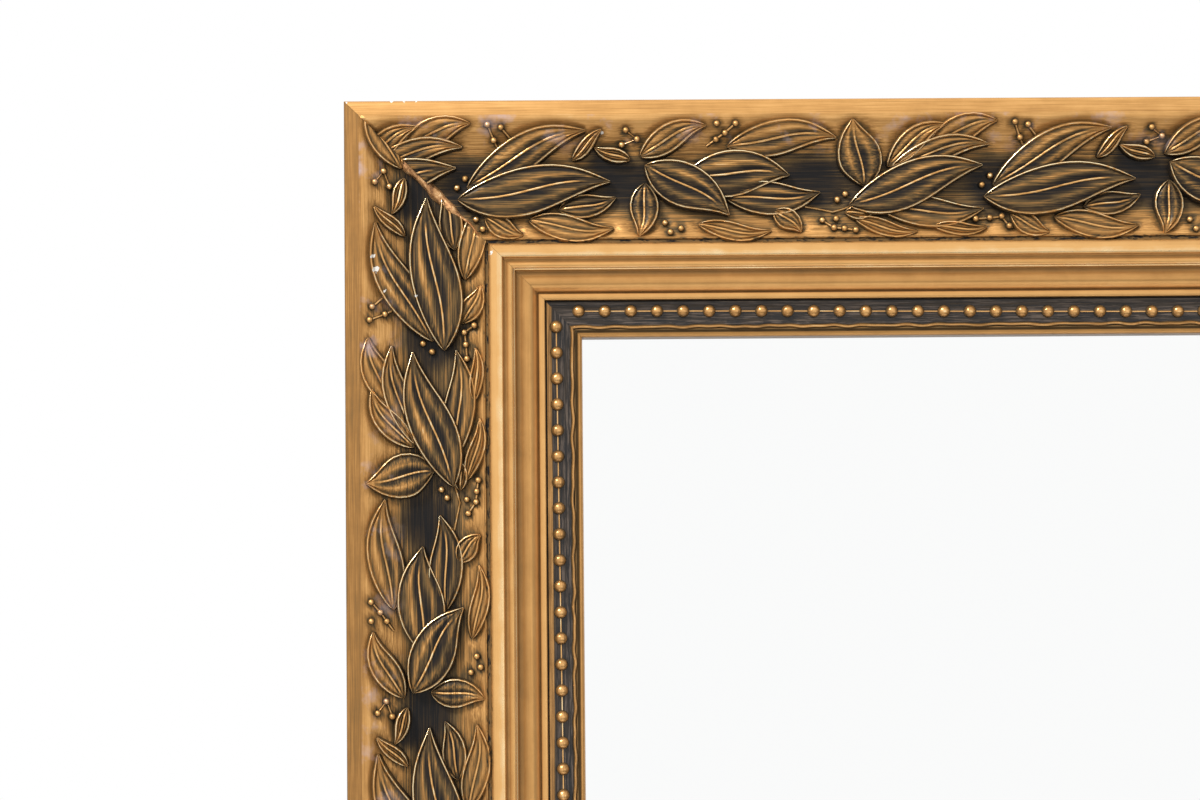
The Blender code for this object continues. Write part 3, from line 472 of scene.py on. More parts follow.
BERRY_RADIUS = 1.45

# stalks from berry to berry and from the berries to their leaves, each through its points
STALKS = [
    [(30.7, 18.7), (34.5, 16.1), (38.1, 13.6), (42.3, 10.1)],
    [(-1.8, 12.4), (2.7, 15.8), (-3.4, 18.0)],
    [(77.2, 48.7), (81.8, 51.9), (86.0, 52.2), (90.5, 52.9)],
    [(139.2, 48.6), (144.9, 48.2), (149.8, 47.6), (152.5, 51.6)],
    [(154.8, 10.1), (157.2, 16.0), (159.5, 20.7)],
    [(160.1, 11.1), (163.5, 15.0)],
    [(69.2, 42.8), (81.6, 45.4), (91.1, 42.6)],
]
# the middles of the blackest hollows in the ground: along, in, reach
HOLLOWS = [(-1.0, 33.0, 11.0), (74.0, 33.0, 13.0), (148.0, 34.0, 12.0), (-8.0, 26.0, 9.0)]
# how much gold is left on a leaf blade, from one edge of the hollow to the other
BLADE_IN = (8, 16, 22, 28, 36, 43, 48, 54)
BLADE_TONE = (0.62, 0.56, 0.45, 0.36, 0.28, 0.30, 0.47, 0.58)
# how much gold is left on the ground
GROUND_TONE = (0.76, 0.74, 0.60, 0.48, 0.38, 0.42, 0.62, 0.70)


# the levels of the strip, in millimetres forward of the frame's back
BAND_LEVEL, OUTER_LEVEL, FALL, HOLLOW_DEPTH = 29.75, 30.0, 3.1, 6.2
ROLL = 0.3  # how softly the band rolls over into the hollow
LEAF_LEVEL, LEAF_CROWN = 0.5, 2.6


def ground_height(v):
    """The ground of the hollow under the leaves, in millimetres forward of the back."""
    share = (v - HOLLOW_EDGE) / (GARLAND_END - HOLLOW_EDGE)
    hollow = OUTER_LEVEL - FALL * share - HOLLOW_DEPTH * 4 * share * (1 - share)
    return -ROLL * np.logaddexp(-hollow / ROLL, -BAND_LEVEL / ROLL)


def leaf_height(v):
    """The level that the leaves lie at: proud of the ground in the middle, down at both edges."""
    share = np.clip((v - HOLLOW_EDGE) / (GARLAND_END - HOLLOW_EDGE), 0, 1)
    return ground_height(v) + LEAF_LEVEL + LEAF_CROWN * np.sin(np.pi * share)


def full_turn(steps):
    return np.linspace(0, 2 * math.pi, steps, endpoint=False)[None, :]


def left_of(slope):
    """The unit direction to the left of each of these directions."""
    return np.stack([-slope[:, 1], slope[:, 0]], axis=1) / np.linalg.norm(slope, axis=1)[:, None]


def window(value, low, high, fade, end_fade=None):
    """One between two levels, fading to nothing over a short way inside each."""
    return np.clip((value - low) / fade, 0, 1) * np.clip((high - value) / (end_fade or fade), 0, 1)


class Relief:
    """The points, faces and finish values of one raised piece, gathered part by part."""

    def __init__(self):
        self.points, self.faces, self.tone, self.count = [], [], [], 0

    def take(self, points, faces, tone):
        self.points.append(np.asarray(points).reshape(-1, 3))
        self.faces += [[i + self.count for i in face] for face in faces]
        self.tone.append(np.ravel(tone))
        self.count += len(self.points[-1])

    def laid_on(self, side, name, look, angle):
        """The piece made of all the parts, laid along one side of the frame."""
        rail = np.concatenate(self.points) * MM
        return new_piece(name, on_side(side, *rail.T), self.faces, look, angle,
                         rail=rail, tone=np.concatenate(self.tone))


SWAY = 0.022  # how far a leaf's middle line swings to each side, as a share of its length


def leaf_line(foot, tip, bend, share):
    """The middle line of a leaf and the direction across it, at these shares of its length."""
    foot, tip = np.array(foot), np.array(tip)
    along = tip - foot
    side = np.array([along[1], -along[0]]) / np.hypot(*along)
    sway = SWAY * np.hypot(*along) * math.copysign(1, bend)
    off = bend * 4 * share * (1 - share) - sway * np.sin(2 * math.pi * share)
    turn = bend * 4 * (1 - 2 * share) - sway * 2 * math.pi * np.cos(2 * math.pi * share)
    line = foot + along * share[:, None] + side * off[:, None]
    slope = along + side * turn[:, None]
    return line, -left_of(slope)


LEAF_FOOT_POWER, LEAF_TIP_POWER = 0.85, 1.12
FULLEST, LEAST_HALF_WIDTH = 0.26, 0.25


def leaf_half_width(width, share):
    full = share**LEAF_FOOT_POWER * (1 - share) ** LEAF_TIP_POWER
    return width / 2 * full / FULLEST + LEAST_HALF_WIDTH


# across half a leaf, from the ground up over the rim to the rib: distance in from the leaf's
# edge, height, share of the gold that shows there
RIM = [(-0.55, -0.9, 0.10), (-0.10, 0.20, 0.34), (0.14, 0.66, 0.92), (0.36, 0.70, 1.0), (0.62, 0.28, 0.52),
       (1.05, -0.30, 0.16)]
BLADE = [(0.22, 0.02, 0.36), (0.5, 0.32, 0.56), (0.80, 0.00, 0.38)]
RIB = [(0.58, -0.32, 0.08), (0.18, 0.20, 0.82)]
BLADE_GOLD = 0.45  # the share of gold that a plain blade shows
WIDE_LEAF = 12.5
LEAF_STEP = 3.4
SKIRT, SKIRT_DEPTH = 0.75, 0.9  # how far a leaf's foot spreads and how far it goes into the ground
LAYER_STEP, LEAF_LIFT = 0.9, 0.8
RIB_SHADE_AND_GLAZE_DEPTH = 0.85
# which columns of a leaf are darkened beside the rib by glaze and painted shade, and the shares of its length
# where that lies
RIB_SHADE_AND_GLAZE = {8: (0.48, 0.90), 13: (0.22, 0.66), 9: (0.56, 0.84), 12: (0.30, 0.58)}


# the tone left in the grooves and on the rims, from one edge of the hollow to the other
GROOVE_TONE = (0.34, 0.22, 0.06, 0.02, 0.00, 0.02, 0.24, 0.40)
RIM_TONE = (0.86, 0.94, 1.02, 1.05, 1.05, 1.02, 0.90, 0.84)


def blend_tone(gold, v):
    """The tone of a point on a leaf: dark in the grooves, the blade's own, pale on the rims."""
    groove, blade, rim = (np.interp(v, BLADE_IN, row) for row in (GROOVE_TONE, BLADE_TONE, RIM_TONE))
    low = groove + (blade - groove) * gold / BLADE_GOLD
    high = blade + (rim - blade) * (gold - BLADE_GOLD) / (1 - BLADE_GOLD)
    return np.where(gold < BLADE_GOLD, low, high)


def add_leaf(relief, foot, tip, width, bend, layer):
    """A closed leaf: a raised rim round a hollowed blade, a rib along it and a foot in the ground."""
    rows = int(np.clip(math.dist(foot, tip) / LEAF_STEP + 5, 8, 22))
    share = (1 - np.cos(np.linspace(0, math.pi, rows))) / 2 * 0.5 + np.linspace(0, 1, rows) * 0.5
    line, normal = leaf_line(foot, tip, bend, share)
    half = leaf_half_width(width, share)
    narrow = np.clip(half / 2.2, 0.25, 1)
    columns = [(half - inset * narrow, height * narrow, gold + 0 * half) for inset, height, gold in RIM]
    rim_foot = half - RIM[-1][0] * narrow
    rib_foot = RIB[0][0] * narrow
    for part, height, gold in BLADE:
        columns.append((rim_foot + (rib_foot - rim_foot) * part, height * narrow, gold + 0 * half))
    rib_shown = window(share, 0.05, 0.86, 0.08, 0.10)
    for offset, height, gold in RIB:
        columns.append((offset * narrow, height * rib_shown * narrow, 0.42 + (gold - 0.42) * rib_shown))
    across = [(*column, 1) for column in columns] + [(*column, -1) for column in columns[::-1]]
    # glaze and painted shade along the rib, farther out on one side than on the other
    for number, (start, end) in RIB_SHADE_AND_GLAZE.items():
        d, h, gold, way = across[number]
        shade_and_glaze = np.clip(np.minimum(share - start, end - share) / 0.12, 0, 1)
        across[number] = (d, h, gold * (1 - RIB_SHADE_AND_GLAZE_DEPTH * shade_and_glaze), way)
    if width > WIDE_LEAF:
        # a second, shorter rib on one half of a wide blade
        vein = window(share, 0.28, 0.78, 0.1)
        d, h, gold, way = across[len(RIM) + 1]
        across[len(RIM) + 1] = (d, h + 0.16 * vein, gold + 0.12 * vein, way)
    skirt = half + SKIRT
    lift = window(share, 0, 1, 0.18, 0.10) ** 0.5
    points, tones = [], []
    for d, h, gold, way in [(skirt, None, 0 * half, 1)] + across + [(skirt, None, 0 * half, -1)]:
        place = line + normal * (d * way)[:, None]
        # the blade is folded a little along its rib, and one half stands higher than the other
        crown = 0.05 * half * (1 - np.clip(d / np.maximum(half, 0.1), 0, 1)) + 0.035 * d * way
        level = leaf_height(place[:, 1]) + (layer - 1) * LAYER_STEP + lift * LEAF_LIFT + crown
        height = ground_height(place[:, 1]) - SKIRT_DEPTH if h is None else level + h
        points.append(np.column_stack([place, height]))
        tones.append(blend_tone(gold, place[:, 1]))
    points = np.stack(points, axis=1)
    relief.take(points, tube_faces(rows, points.shape[1], 1), np.clip(np.stack(tones, axis=1), 0, 1.1))


def add_dome(relief, centre, radius, low, high, steps, tones):
    """A small dome, its rings between two angles and a tone for each of them."""
    polar = np.linspace(low, high, len(tones))[:, None]
    turn = full_turn(steps)
    u = centre[0] + radius * np.cos(polar) * np.cos(turn)
    v = centre[1] + radius * np.cos(polar) * np.sin(turn)
    h = centre[2] + radius * np.sin(polar) + 0 * turn
    faces = tube_faces(len(tones), steps)
    relief.take(np.stack([u, v, h], axis=-1), faces, np.broadcast_to(np.array(tones)[:, None], u.shape))


def add_berry(relief, along, inward):
    """A small dome, its foot darkened with painted shade."""
    level = float(ground_height(np.array(inward))) + 0.5
    add_dome(relief, (along, inward, level), BERRY_RADIUS, -0.35, 1.40, 8, (0.0, 0.0, 0.40, 0.66, 0.84))


def add_stalk(relief, route, radius=0.42):
    """A thin raised stem along the ground through the points of its route."""
    route = np.array(route, dtype=float)
    slope = np.gradient(route, axis=0)
    normal = left_of(slope)
    section = [(-1.6, -0.8, 0.1), (-0.8, 0.6, 0.5), (0.0, 1.1, 0.9), (0.8, 0.6, 0.5), (1.6, -0.8, 0.1)]
    points, tones = [], []
    for offset, height, gold in section:
        place = route + normal * offset * radius
        points.append(np.column_stack([place, ground_height(place[:, 1]) + height * radius + 0.25]))
        tones.append(np.full(len(route), gold))
    relief.take(np.stack(points, axis=1), tube_faces(len(route), len(section)), np.stack(tones, axis=1))


GROUND_STEP, GROUND_COLUMNS = 2.1, 43
UNDER_STRIDE, STRIP_THICKNESS = 6, 1.4
SCOOP_DEPTH, SCOOP_REACH = 0.95, 2.4
RING_DEPTH, RING_REACH = 0.5, 1.2  # the ring pressed round each berry
FAR = 99.0


def add_ground(relief, side, length, leaves, berries, hollows):
    """The strip's ground, scooped round the leaves near its two edges and black between them."""
    rows = round((length - 2 * GARLAND_START) / GROUND_STEP)
    v = np.linspace(GARLAND_START, GARLAND_END, GROUND_COLUMNS)
    share = np.linspace(0, 1, rows)[:, None]
    u = v + (length - 2 * v) * share
    v = np.broadcast_to(v, u.shape).copy()
    near = np.full(u.shape, FAR)
    by_berry = np.full(u.shape, FAR)
    for foot, tip, width, bend, _ in leaves:
        at = np.linspace(0.02, 0.98, 18)
        line, _ = leaf_line(foot, tip, bend, at)
        half = leaf_half_width(width, at)
        low, high = line[:, 0].min() - width - 6, line[:, 0].max() + width + 6
        row = np.nonzero((u.max(1) > low) & (u.min(1) < high))[0]
        if not len(row):
            continue
        part = slice(row[0], row[-1] + 1)
        distance = np.hypot(u[part][..., None] - line[:, 0], v[part][..., None] - line[:, 1]) - half
        near[part] = np.minimum(near[part], distance.min(-1))
    for along, inward in berries:
        row = np.nonzero((u.max(1) > along - 5) & (u.min(1) < along + 5))[0]
        if len(row):
            part = slice(row[0], row[-1] + 1)
            distance = np.hypot(u[part] - along, v[part] - inward) - BERRY_RADIUS
            by_berry[part] = np.minimum(by_berry[part], distance)
    black = np.zeros(u.shape)
    for along, inward, reach in hollows:
        black = np.maximum(black, np.exp(-(np.hypot(u - along, 1.1 * (v - inward)) / reach) ** 4))
    sides = window(v, GARLAND_START, GARLAND_END, 2.5)
    open_ground = 1 - window(v, 16, 51, 8, 6)
    outside = np.maximum(near, 0)
    h = ground_height(v) - SCOOP_DEPTH * np.exp(-((outside / SCOOP_REACH) ** 2)) * sides * open_ground
    h = h - RING_DEPTH * np.exp(-((by_berry / RING_REACH) ** 2)) * sides
    gold = np.interp(v, BLADE_IN, GROUND_TONE)
    # painted shade round each leaf: the ground is darkened close to its foot, where glaze also gathers, and
    # faintly farther out
    gold = gold * (1 - 0.34 * np.exp(-outside / 0.8) * sides - 0.16 * np.exp(-outside / 3.0) * sides)
    # painted shade: a dark ring on the ground round each berry
    gold = gold * (1 - 0.62 * np.exp(-np.maximum(by_berry, 0) / 0.9))
    gold = gold * (1 - black) + 0.02 * black
    gold = gold - BAND_DARKENING[side] * np.clip((BAND_END - v) / 1.5, 0, 1)
    top = np.stack([u, v, h], axis=-1)
    under = top[:, ::UNDER_STRIDE]
    bottom = np.stack([under[..., 0], under[..., 1], ground_height(under[..., 1]) - STRIP_THICKNESS],
                      axis=-1)
    closed = np.concatenate([top, bottom[:, ::-1]], axis=1)
    gold = np.concatenate([gold, gold[:, ::UNDER_STRIDE]], axis=1)
    relief.take(closed, tube_faces(rows, closed.shape[1]), gold)


def cut_at_mitres(mesh, side):
    """Trims a garland at the two mitre planes of its side and closes the cuts."""
    corner, along, inward, length = SIDES[side]
    bm = bmesh.new()
    bm.from_mesh(mesh)
    for way in (1, -1):
        start = np.array(corner) + np.array(along) * (0 if way == 1 else length)
        plane = np.array(along) * -way + np.array(inward)
        cut = bmesh.ops.bisect_plane(
            bm,
            geom=bm.verts[:] + bm.edges[:] + bm.faces[:],
            plane_co=(start[0], 0, start[1]),
            plane_no=(plane[0], 0, plane[1]),
            clear_outer=True,
        )
        edges = [e for e in cut["geom_cut"] if isinstance(e, bmesh.types.BMEdge)]
        bmesh.ops.holes_fill(bm, edges=edges, sides=0)
    bm.to_mesh(mesh)
    bm.free()


def garland_piece(side, look):
    """The pattern repeated along one side of the frame, without what its mitres would cut through."""
    length = SIDES[side][3] / MM
    leaves, berries, stalks, hollows = [], [], [], []
    # the pattern runs on from before the start of the length
    knot = FIRST_KNOT[side] - REPEAT * math.ceil(FIRST_KNOT[side] / REPEAT)
    while knot < length + REPEAT:
        for foot, tip, *rest in LEAVES:
            low, high = min(foot[0], tip[0]) + knot, max(foot[0], tip[0]) + knot
            if high > foot[1] - 4 and low < length - foot[1] + 4:
                leaves.append(((foot[0] + knot, foot[1]), (tip[0] + knot, tip[1]), *rest))
        berries += [(u + knot, v) for u, v in BERRIES if v + 1.5 < u + knot < length - v - 1.5]
        stalks += [[(u + knot, v) for u, v in route] for route in STALKS
                   if all(v + 1 < u + knot < length - v - 1 for u, v in route)]
        hollows += [(u + knot, v, reach) for u, v, reach in HOLLOWS]
        knot += REPEAT
    relief = Relief()
    add_ground(relief, side, length, leaves, berries, hollows)
    for stalk in stalks:
        add_stalk(relief, stalk)
    for leaf in leaves:
        add_leaf(relief, *leaf)
    for berry in berries:
        add_berry(relief, *berry)
    piece = relief.laid_on(side, side + "_garland_relief", look, 60)
    cut_at_mitres(piece.data, side)
    return piece


BLOOM = (0.62, 0.50, 0.52, 1)


def bloom(tree, colour):
    """A faint chalky bloom that has settled in patches near the garland's outer edge."""
    inner = span(tree, across_rail(tree), 0.010, 0.024, 1.0, 0.0)
    cloudy = add(tree, "TexNoise", Vector=rail_place(tree), Scale=75.0, Detail=4.0, Roughness=0.6)
    patches = span(tree, cloudy.outputs["Fac"], 0.55, 0.72, 0.0, 0.55)
    return mix_colour(tree, maths(tree, "MULTIPLY", inner, patches), colour, BLOOM)


def garland_streaks(tree):
    """The wiped glaze is streaky in the middle of the hollow and thin near the band and the groove."""
    return ramp(tree, span(tree, across_rail(tree), 0.0, 0.060),
                (0.15, 0.20), (0.38, 0.56), (0.75, 0.56), (0.90, 0.30))


garland_gold = gilded("garland_gold", rail_place, moulding_tone, garland_streaks, 0.10, overlay=bloom)
for side in SIDES:
    fit(garland_piece(side, garland_gold), "mirror_panel", "gilt_ornament", side + "_garland")

# ---- The mitre filler ---------------------------------------------------------------------
# Reddish putty pressed over each mitre where two garlands meet, dried proud and a little cracked.

FILLER_START, FILLER_END = 17.0, 54.5
FILLER_CORNERS = {"top": "top_left", "right": "top_right", "bottom": "bottom_right", "left": "bottom_left"}
putty, tree, shader = new_material("mitre_putty", (0.40, 0.19, 0.08), 0.45, 0.35, 0.3)
spot = add(tree, "TexCoord").outputs["Object"]
grit = add(tree, "TexNoise", Vector=spot, Scale=420.0, Detail=5.0, Roughness=0.65).outputs["Fac"]
link(tree, ramp(tree, grit, (0.32, (0.06, 0.030, 0.014)), (0.46, (0.38, 0.18, 0.07)),
                (0.60, (0.66, 0.36, 0.15)), (0.72, (0.90, 0.66, 0.38))), shader.inputs["Base Color"])
bump(tree, shader, grit, 0.8, 0.0006)
for number, (side, corner) in enumerate(FILLER_CORNERS.items()):
    chance = np.random.default_rng(40 + number)
    middle = np.linspace(FILLER_START, FILLER_END, 40)
    part = np.linspace(0, 1, len(middle))
    wander = np.interp(part, np.linspace(0, 1, 9), chance.normal(0, 0.45, 9))
    wide = np.interp(part, (0, 0.12, 0.40, 0.68, 0.8, 1), (0.5, 1.5, 2.4, 1.6, 0.5, 0.35))
    wide = wide * (1 + 0.25 * np.interp(part, np.linspace(0, 1, 14), chance.normal(0, 1, 14)))
    lump = 0.4 * np.interp(part, np.linspace(0, 1, 18), chance.normal(0, 1, 18))
    level = leaf_height(middle) + 0.3 * np.sin(np.pi * part) + lump * wide / 1.7
    section = [(-1.3, -3.5), (-0.9, -0.3), (-0.45, 0.25), (0.0, 0.1), (0.4, 0.45), (0.85, -0.2), (1.3, -3.5)]
    columns = []
    for offset, height in section:
        shift = (wander + offset * np.abs(wide)) / math.sqrt(2)
        columns.append(np.column_stack([middle + shift, middle - shift, level + height]))
    block = np.stack(columns, axis=1)
    points = on_side(side, *(block.reshape(-1, 3) * MM).T)
    faces = tube_faces(len(middle), len(section), 1)
    fit(new_piece(corner + "_mitre_filler", points, faces, putty, 70), "mirror_panel", "gilt_ornament")

# ---- The bead courses ---------------------------------------------------------------------
# A string of small round beads on a wire, pressed in one strip and laid in the black channel.

BEAD_PITCH, BEAD_RADIUS = 10.45, 2.65
BEAD_BASE = 18.0
FIRST_BEAD = {"top": 93.6, "left": 90.6, "right": 94.0, "bottom": 92.8}


def bead_middle(u):
    """How far in the string lies: it was laid by hand and wanders a little."""
    return 85.3 - 1.0 * np.sin(2 * math.pi * (u - 1310) / 720)


# how far the black of the channel is rubbed through to the gold at its outer side
CHANNEL_WEAR = {"top": 0.14, "left": 0.62, "right": 0.44, "bottom": 0.32}
STRIP_STEP = 1.6
WAVY_FROM, WAVY_TO = 86, 91.5
WIRE = np.array([(-0.3, 0.0), (-0.2, 0.5), (0.2, 0.5), (0.3, 0.0)])
WIRE_BASE, WIRE_INSET, WIRE_TONE = 17.75, 1.5, 0.78
# the beads' tones from foot to crown: the dark foot is painted shade
BEAD_TONES = 0.80 * np.linspace(0.0, 1.0, 7) ** 0.6


def channel_strip(length, streaked_tone):
    """The strip under the beads, its inner edge wavy: points by rows, and the tone of each."""
    strip = np.array([
        (80.5, 17.2, 0.5 * streaked_tone), (80.7, 18.1, streaked_tone), (82.4, 18.0, streaked_tone), (83.0, 17.8, 0.12),
        (WAVY_FROM, 17.8, 0.06), (89.9, 17.8, 0.06), (90.3, 18.4, 0.40), (90.8, 18.8, 0.78),
        (91.4, 18.7, 0.45), (91.6, 17.2, 0.1),
    ])
    v = strip[:, 0]
    share = np.linspace(0, 1, round(length / STRIP_STEP))[:, None]
    u = v + (length - 2 * v) * share
    edge = np.clip((v - WAVY_FROM) / 4.3, 0, 1)
    wave = edge * (0.22 * np.sin(u / 3.1 + 2 * np.sin(u / 17)) + 0.16 * np.sin(u / 1.7 + 3 * np.sin(u / 29)))
    inward = v + wave * (v < WAVY_TO)
    return np.stack([u, inward, strip[:, 1] + 0.8 * wave], axis=-1), strip[:, 2] + 0 * u


def bead_course(side, look):
    """The strip, its beads and the wire between them, along one side of the frame."""
    length = SIDES[side][3] / MM
    relief = Relief()
    strip, tone = channel_strip(length, CHANNEL_WEAR[side])
    relief.take(strip, tube_faces(*tone.shape), tone)
    count = int((length - 2 * FIRST_BEAD[side]) / BEAD_PITCH + 0.5) + 1
    pitch = (length - 2 * FIRST_BEAD[side]) / (count - 1)
    for number in range(count):
        middle = FIRST_BEAD[side] + number * pitch
        add_dome(relief, (middle, bead_middle(middle), BEAD_BASE), BEAD_RADIUS, -0.1, 1.45, 16, BEAD_TONES)
        if number < count - 1:
            ends = np.array([middle + WIRE_INSET, middle + pitch - WIRE_INSET])[:, None]
            u, v = ends + 0 * WIRE[:, 0], bead_middle(ends) + WIRE[:, 0]
            block = np.stack([u, v, WIRE_BASE + WIRE[:, 1] + 0 * ends], axis=-1)
            relief.take(block, tube_faces(2, len(WIRE)), np.full(8, WIRE_TONE))
    return relief.laid_on(side, side + "_bead_course", look, 45)


# the grey of scuffs and of a painted sheen on the channel's black
SCUFF_AND_SHEEN = (0.125, 0.092, 0.070, 1)


def scuffs_and_sheen(tree, colour):
    """Grey scuffs and a painted sheen along the black paint of the channel, which the gold of the beads
    doesn't show.
    """
    line = streaks(tree, rail_place(tree), 60.0, 1300.0, 4.0, 0.7)
    scuff_and_sheen_lines = span(tree, line, 0.49, 0.62, 0.0, 0.80)
    black = span(tree, attribute(tree, "tone"), 0.16, 0.32, 1.0, 0.0)
    return mix_colour(tree, maths(tree, "MULTIPLY", scuff_and_sheen_lines, black), colour, SCUFF_AND_SHEEN)


bead_gold = gilded("bead_gold", rail_place, moulding_tone, 0.36, 0.10, relief=0.0003, overlay=scuffs_and_sheen,
                   gloss=0.4, polish=0.6)
for side in SIDES:
    fit(bead_course(side, bead_gold), "mirror_panel", "gilt_ornament", side + "_beading")

# ---- The mirror glass ---------------------------------------------------------------------
# One pane of 4 mm silvered float glass, held in the rebate behind the lip and polished clean.


def refinish(look, *nodes):
    """Gives CAD nodes that keep their own shape a better material."""
    for node in nodes:
        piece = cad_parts[node]
        piece.data.materials.clear()
        piece.data.materials.append(look)


def speckle(tree, scale, detail=4.0, stretch=(1, 1, 1)):
    """Noise fixed to the object, as a value round one half."""
    drawn = vectors(tree, "MULTIPLY", add(tree, "TexCoord").outputs["Object"], stretch)
    noise = add(tree, "TexNoise", Vector=drawn, Scale=scale, Detail=detail, Roughness=0.62)
    return noise.outputs["Fac"]


silvered, tree, shader = new_material("silvered_glass", (0.975, 0.98, 0.978), 0.01, 1.0)
wiped = speckle(tree, 9.0, 6.0, (1.0, 1.0, 0.35))
link(tree, ramp(tree, wiped, (0.40, 0.004), (0.62, 0.012), (0.78, 0.030)), shader.inputs["Roughness"])
refinish(silvered, "mirror_glass")

# ---- The backing board --------------------------------------------------------------------
# Brown hardboard, 4 mm, smooth side out, pushed into the rebate behind the glass.


def mottled(name, stops, roughness, metallic, scale, relief, stretch=(1, 1, 1), specular=0.5):
    """A material whose colour and gloss vary over the surface with one speckle."""
    look, tree, shader = new_material(name, metallic=metallic, specular=specular)
    grain = speckle(tree, scale, 5.0, stretch)
    link(tree, ramp(tree, grain, *stops), shader.inputs["Base Color"])
    low, high = roughness
    link(tree, ramp(tree, grain, (0.32, low), (0.68, high)), shader.inputs["Roughness"])
    bump(tree, shader, grain, 0.5, relief)
    return look


hardboard = mottled(
    "hardboard_face",
    [(0.28, (0.052, 0.027, 0.014)), (0.44, (0.125, 0.070, 0.036)), (0.58, (0.165, 0.098, 0.054)),
     (0.74, (0.240, 0.155, 0.092))],
    (0.55, 0.78), 0.0, 620.0, 0.0001, specular=0.3,
)
refinish(hardboard, "backing_board")

# ---- The plates and clips on the back -----------------------------------------------------
# Zinc-plated pressed steel: a flat angle screwed over each mitre, and six clips over the board.

zinc_plate = mottled(
    "zinc_plate",
    [(0.30, (0.36, 0.36, 0.37)), (0.48, (0.54, 0.55, 0.56)), (0.56, (0.66, 0.66, 0.66)),
     (0.72, (0.50, 0.48, 0.44))],
    (0.26, 0.52), 1.0, 190.0, 0.00004,
)
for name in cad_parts:
    if name.endswith("_corner_plate") or name.startswith("back_clip"):
        refinish(zinc_plate, name)

# ---- The screws on the back ---------------------------------------------------------------
# Small zinc-plated pan-head screws with cross recesses, four in each angle and one in each clip.

AXES = {
    "z": ((1, 0, 0), (0, 1, 0), (0, 0, 1)),
    "x": ((0, 1, 0), (0, 0, 1), (1, 0, 0)),
    "-x": ((0, -1, 0), (0, 0, 1), (-1, 0, 0)),
    "y": ((0, 0, 1), (1, 0, 0), (0, 1, 0)),
    "-y": ((0, 0, -1), (1, 0, 0), (0, -1, 0)),
}
LEAST_RADIUS = 0.12 * MM


def turning(base, members, radius=MM):
    """Members as shares of a radius, millimetres up from a level and how far an arc bulges."""
    return [(share * radius, base + up * MM, *(rise * MM for rise in bulge)) for share, up, *bulge in members]


def arc_line(members, fine=1.3 * MM, coarse=5.0 * MM):
    """Points along lines and arcs: each member is a point and, for an arc, how far it bulges left."""
    found = [members[0][:2]]
    for (x0, y0, *_), (x1, y1, *bulge) in zip(members, members[1:]):
        length = math.dist((x0, y0), (x1, y1))
        rise = bulge[0] if bulge else 0.0
        step = fine if length < 0.03 else coarse
        steps = max(4 if rise else 1, round(length / step))
        found += curve_points((x0, y0), (x1, y1), rise, steps).tolist()
    return np.array(found)


def carve_tone(line, tone, reach=4.0 * MM):
    """Gold stays on what stands proud of its surroundings and the glaze stays in the hollows."""
    travel = np.concatenate([[0], np.cumsum(np.linalg.norm(np.diff(line, axis=0), axis=1))])
    before = np.interp(travel - reach, travel, line[:, 0])
    after = np.interp(travel + reach, travel, line[:, 0])
    proud = line[:, 0] - (before + after) / 2
    return tone + np.clip(proud / (1.3 * MM), -1, 0.8) * 0.26


def turned_piece(name, centre, axis, members, look, shape=None, turn=64, tone=0.70, angle=35):
    """A turned piece: its profile runs from its top down; shape may press a pattern into it."""
    line = arc_line(members)
    closed = tuple(members[0][:2]) == tuple(members[-1][:2])
    line = line[:-1] if closed else line
    turn = full_turn(turn) if isinstance(turn, int) else turn
    radius = np.maximum(line[:, :1], LEAST_RADIUS) + 0 * turn
    along = line[:, 1:] + 0 * turn
    shade = carve_tone(line, tone)[:, None] + 0 * turn
    turn = turn + 0 * radius
    if shape:
        radius, along, shade = shape(radius, along, turn, shade)
    local = np.stack([radius * np.cos(turn), radius * np.sin(turn), along], axis=-1)
    points = np.array(centre) + local @ np.array(AXES[axis], dtype=float)
    rows, columns = radius.shape
    if closed:
        faces = (ring_quads(rows + 1, columns)[:, ::-1] % (rows * columns)).tolist()
    else:
        faces = tube_faces(rows, columns)
    rail = local[..., [2, 0, 1]].reshape(-1, 3)
    return new_piece(name, points, faces, look, angle, rail=rail, tone=np.clip(shade, 0, 1.1).ravel())


SCREW_HEAD_RADIUS, SCREW_HEAD_HEIGHT = 4.2 * MM, 2.2 * MM
SCREW_RADIUS, SCREW_LENGTH = 1.9 * MM, 13.0 * MM


def cross_recess(depth, reach, sharp, fall, floor):
    """A four-armed driver recess pressed in the middle of a screw's head."""
    def shape(radius, along, turn, shade):
        arm = np.abs(np.cos(2 * turn)) ** sharp
        sunk = depth * arm * np.clip(1 - radius / reach, 0, 1) ** fall
        return radius, along - sunk * (along > floor), shade
    return shape


small_recess = cross_recess(1.3 * MM, 2.5 * MM, 7, 0.6, -0.9 * SCREW_HEAD_HEIGHT)


def screw(name, x, z, top):
    profile = [
        (0, 0), (SCREW_HEAD_RADIUS * 0.62, -0.25 * MM, 0.08 * MM),
        (SCREW_HEAD_RADIUS, -SCREW_HEAD_HEIGHT, 0.65 * MM), (SCREW_RADIUS, -SCREW_HEAD_HEIGHT),
        (SCREW_RADIUS, -SCREW_LENGTH + 2.0 * MM), (0, -SCREW_LENGTH),
    ]
    return turned_piece(name, (x, top, z), "y", profile, zinc_plate, small_recess, 48, angle=50)


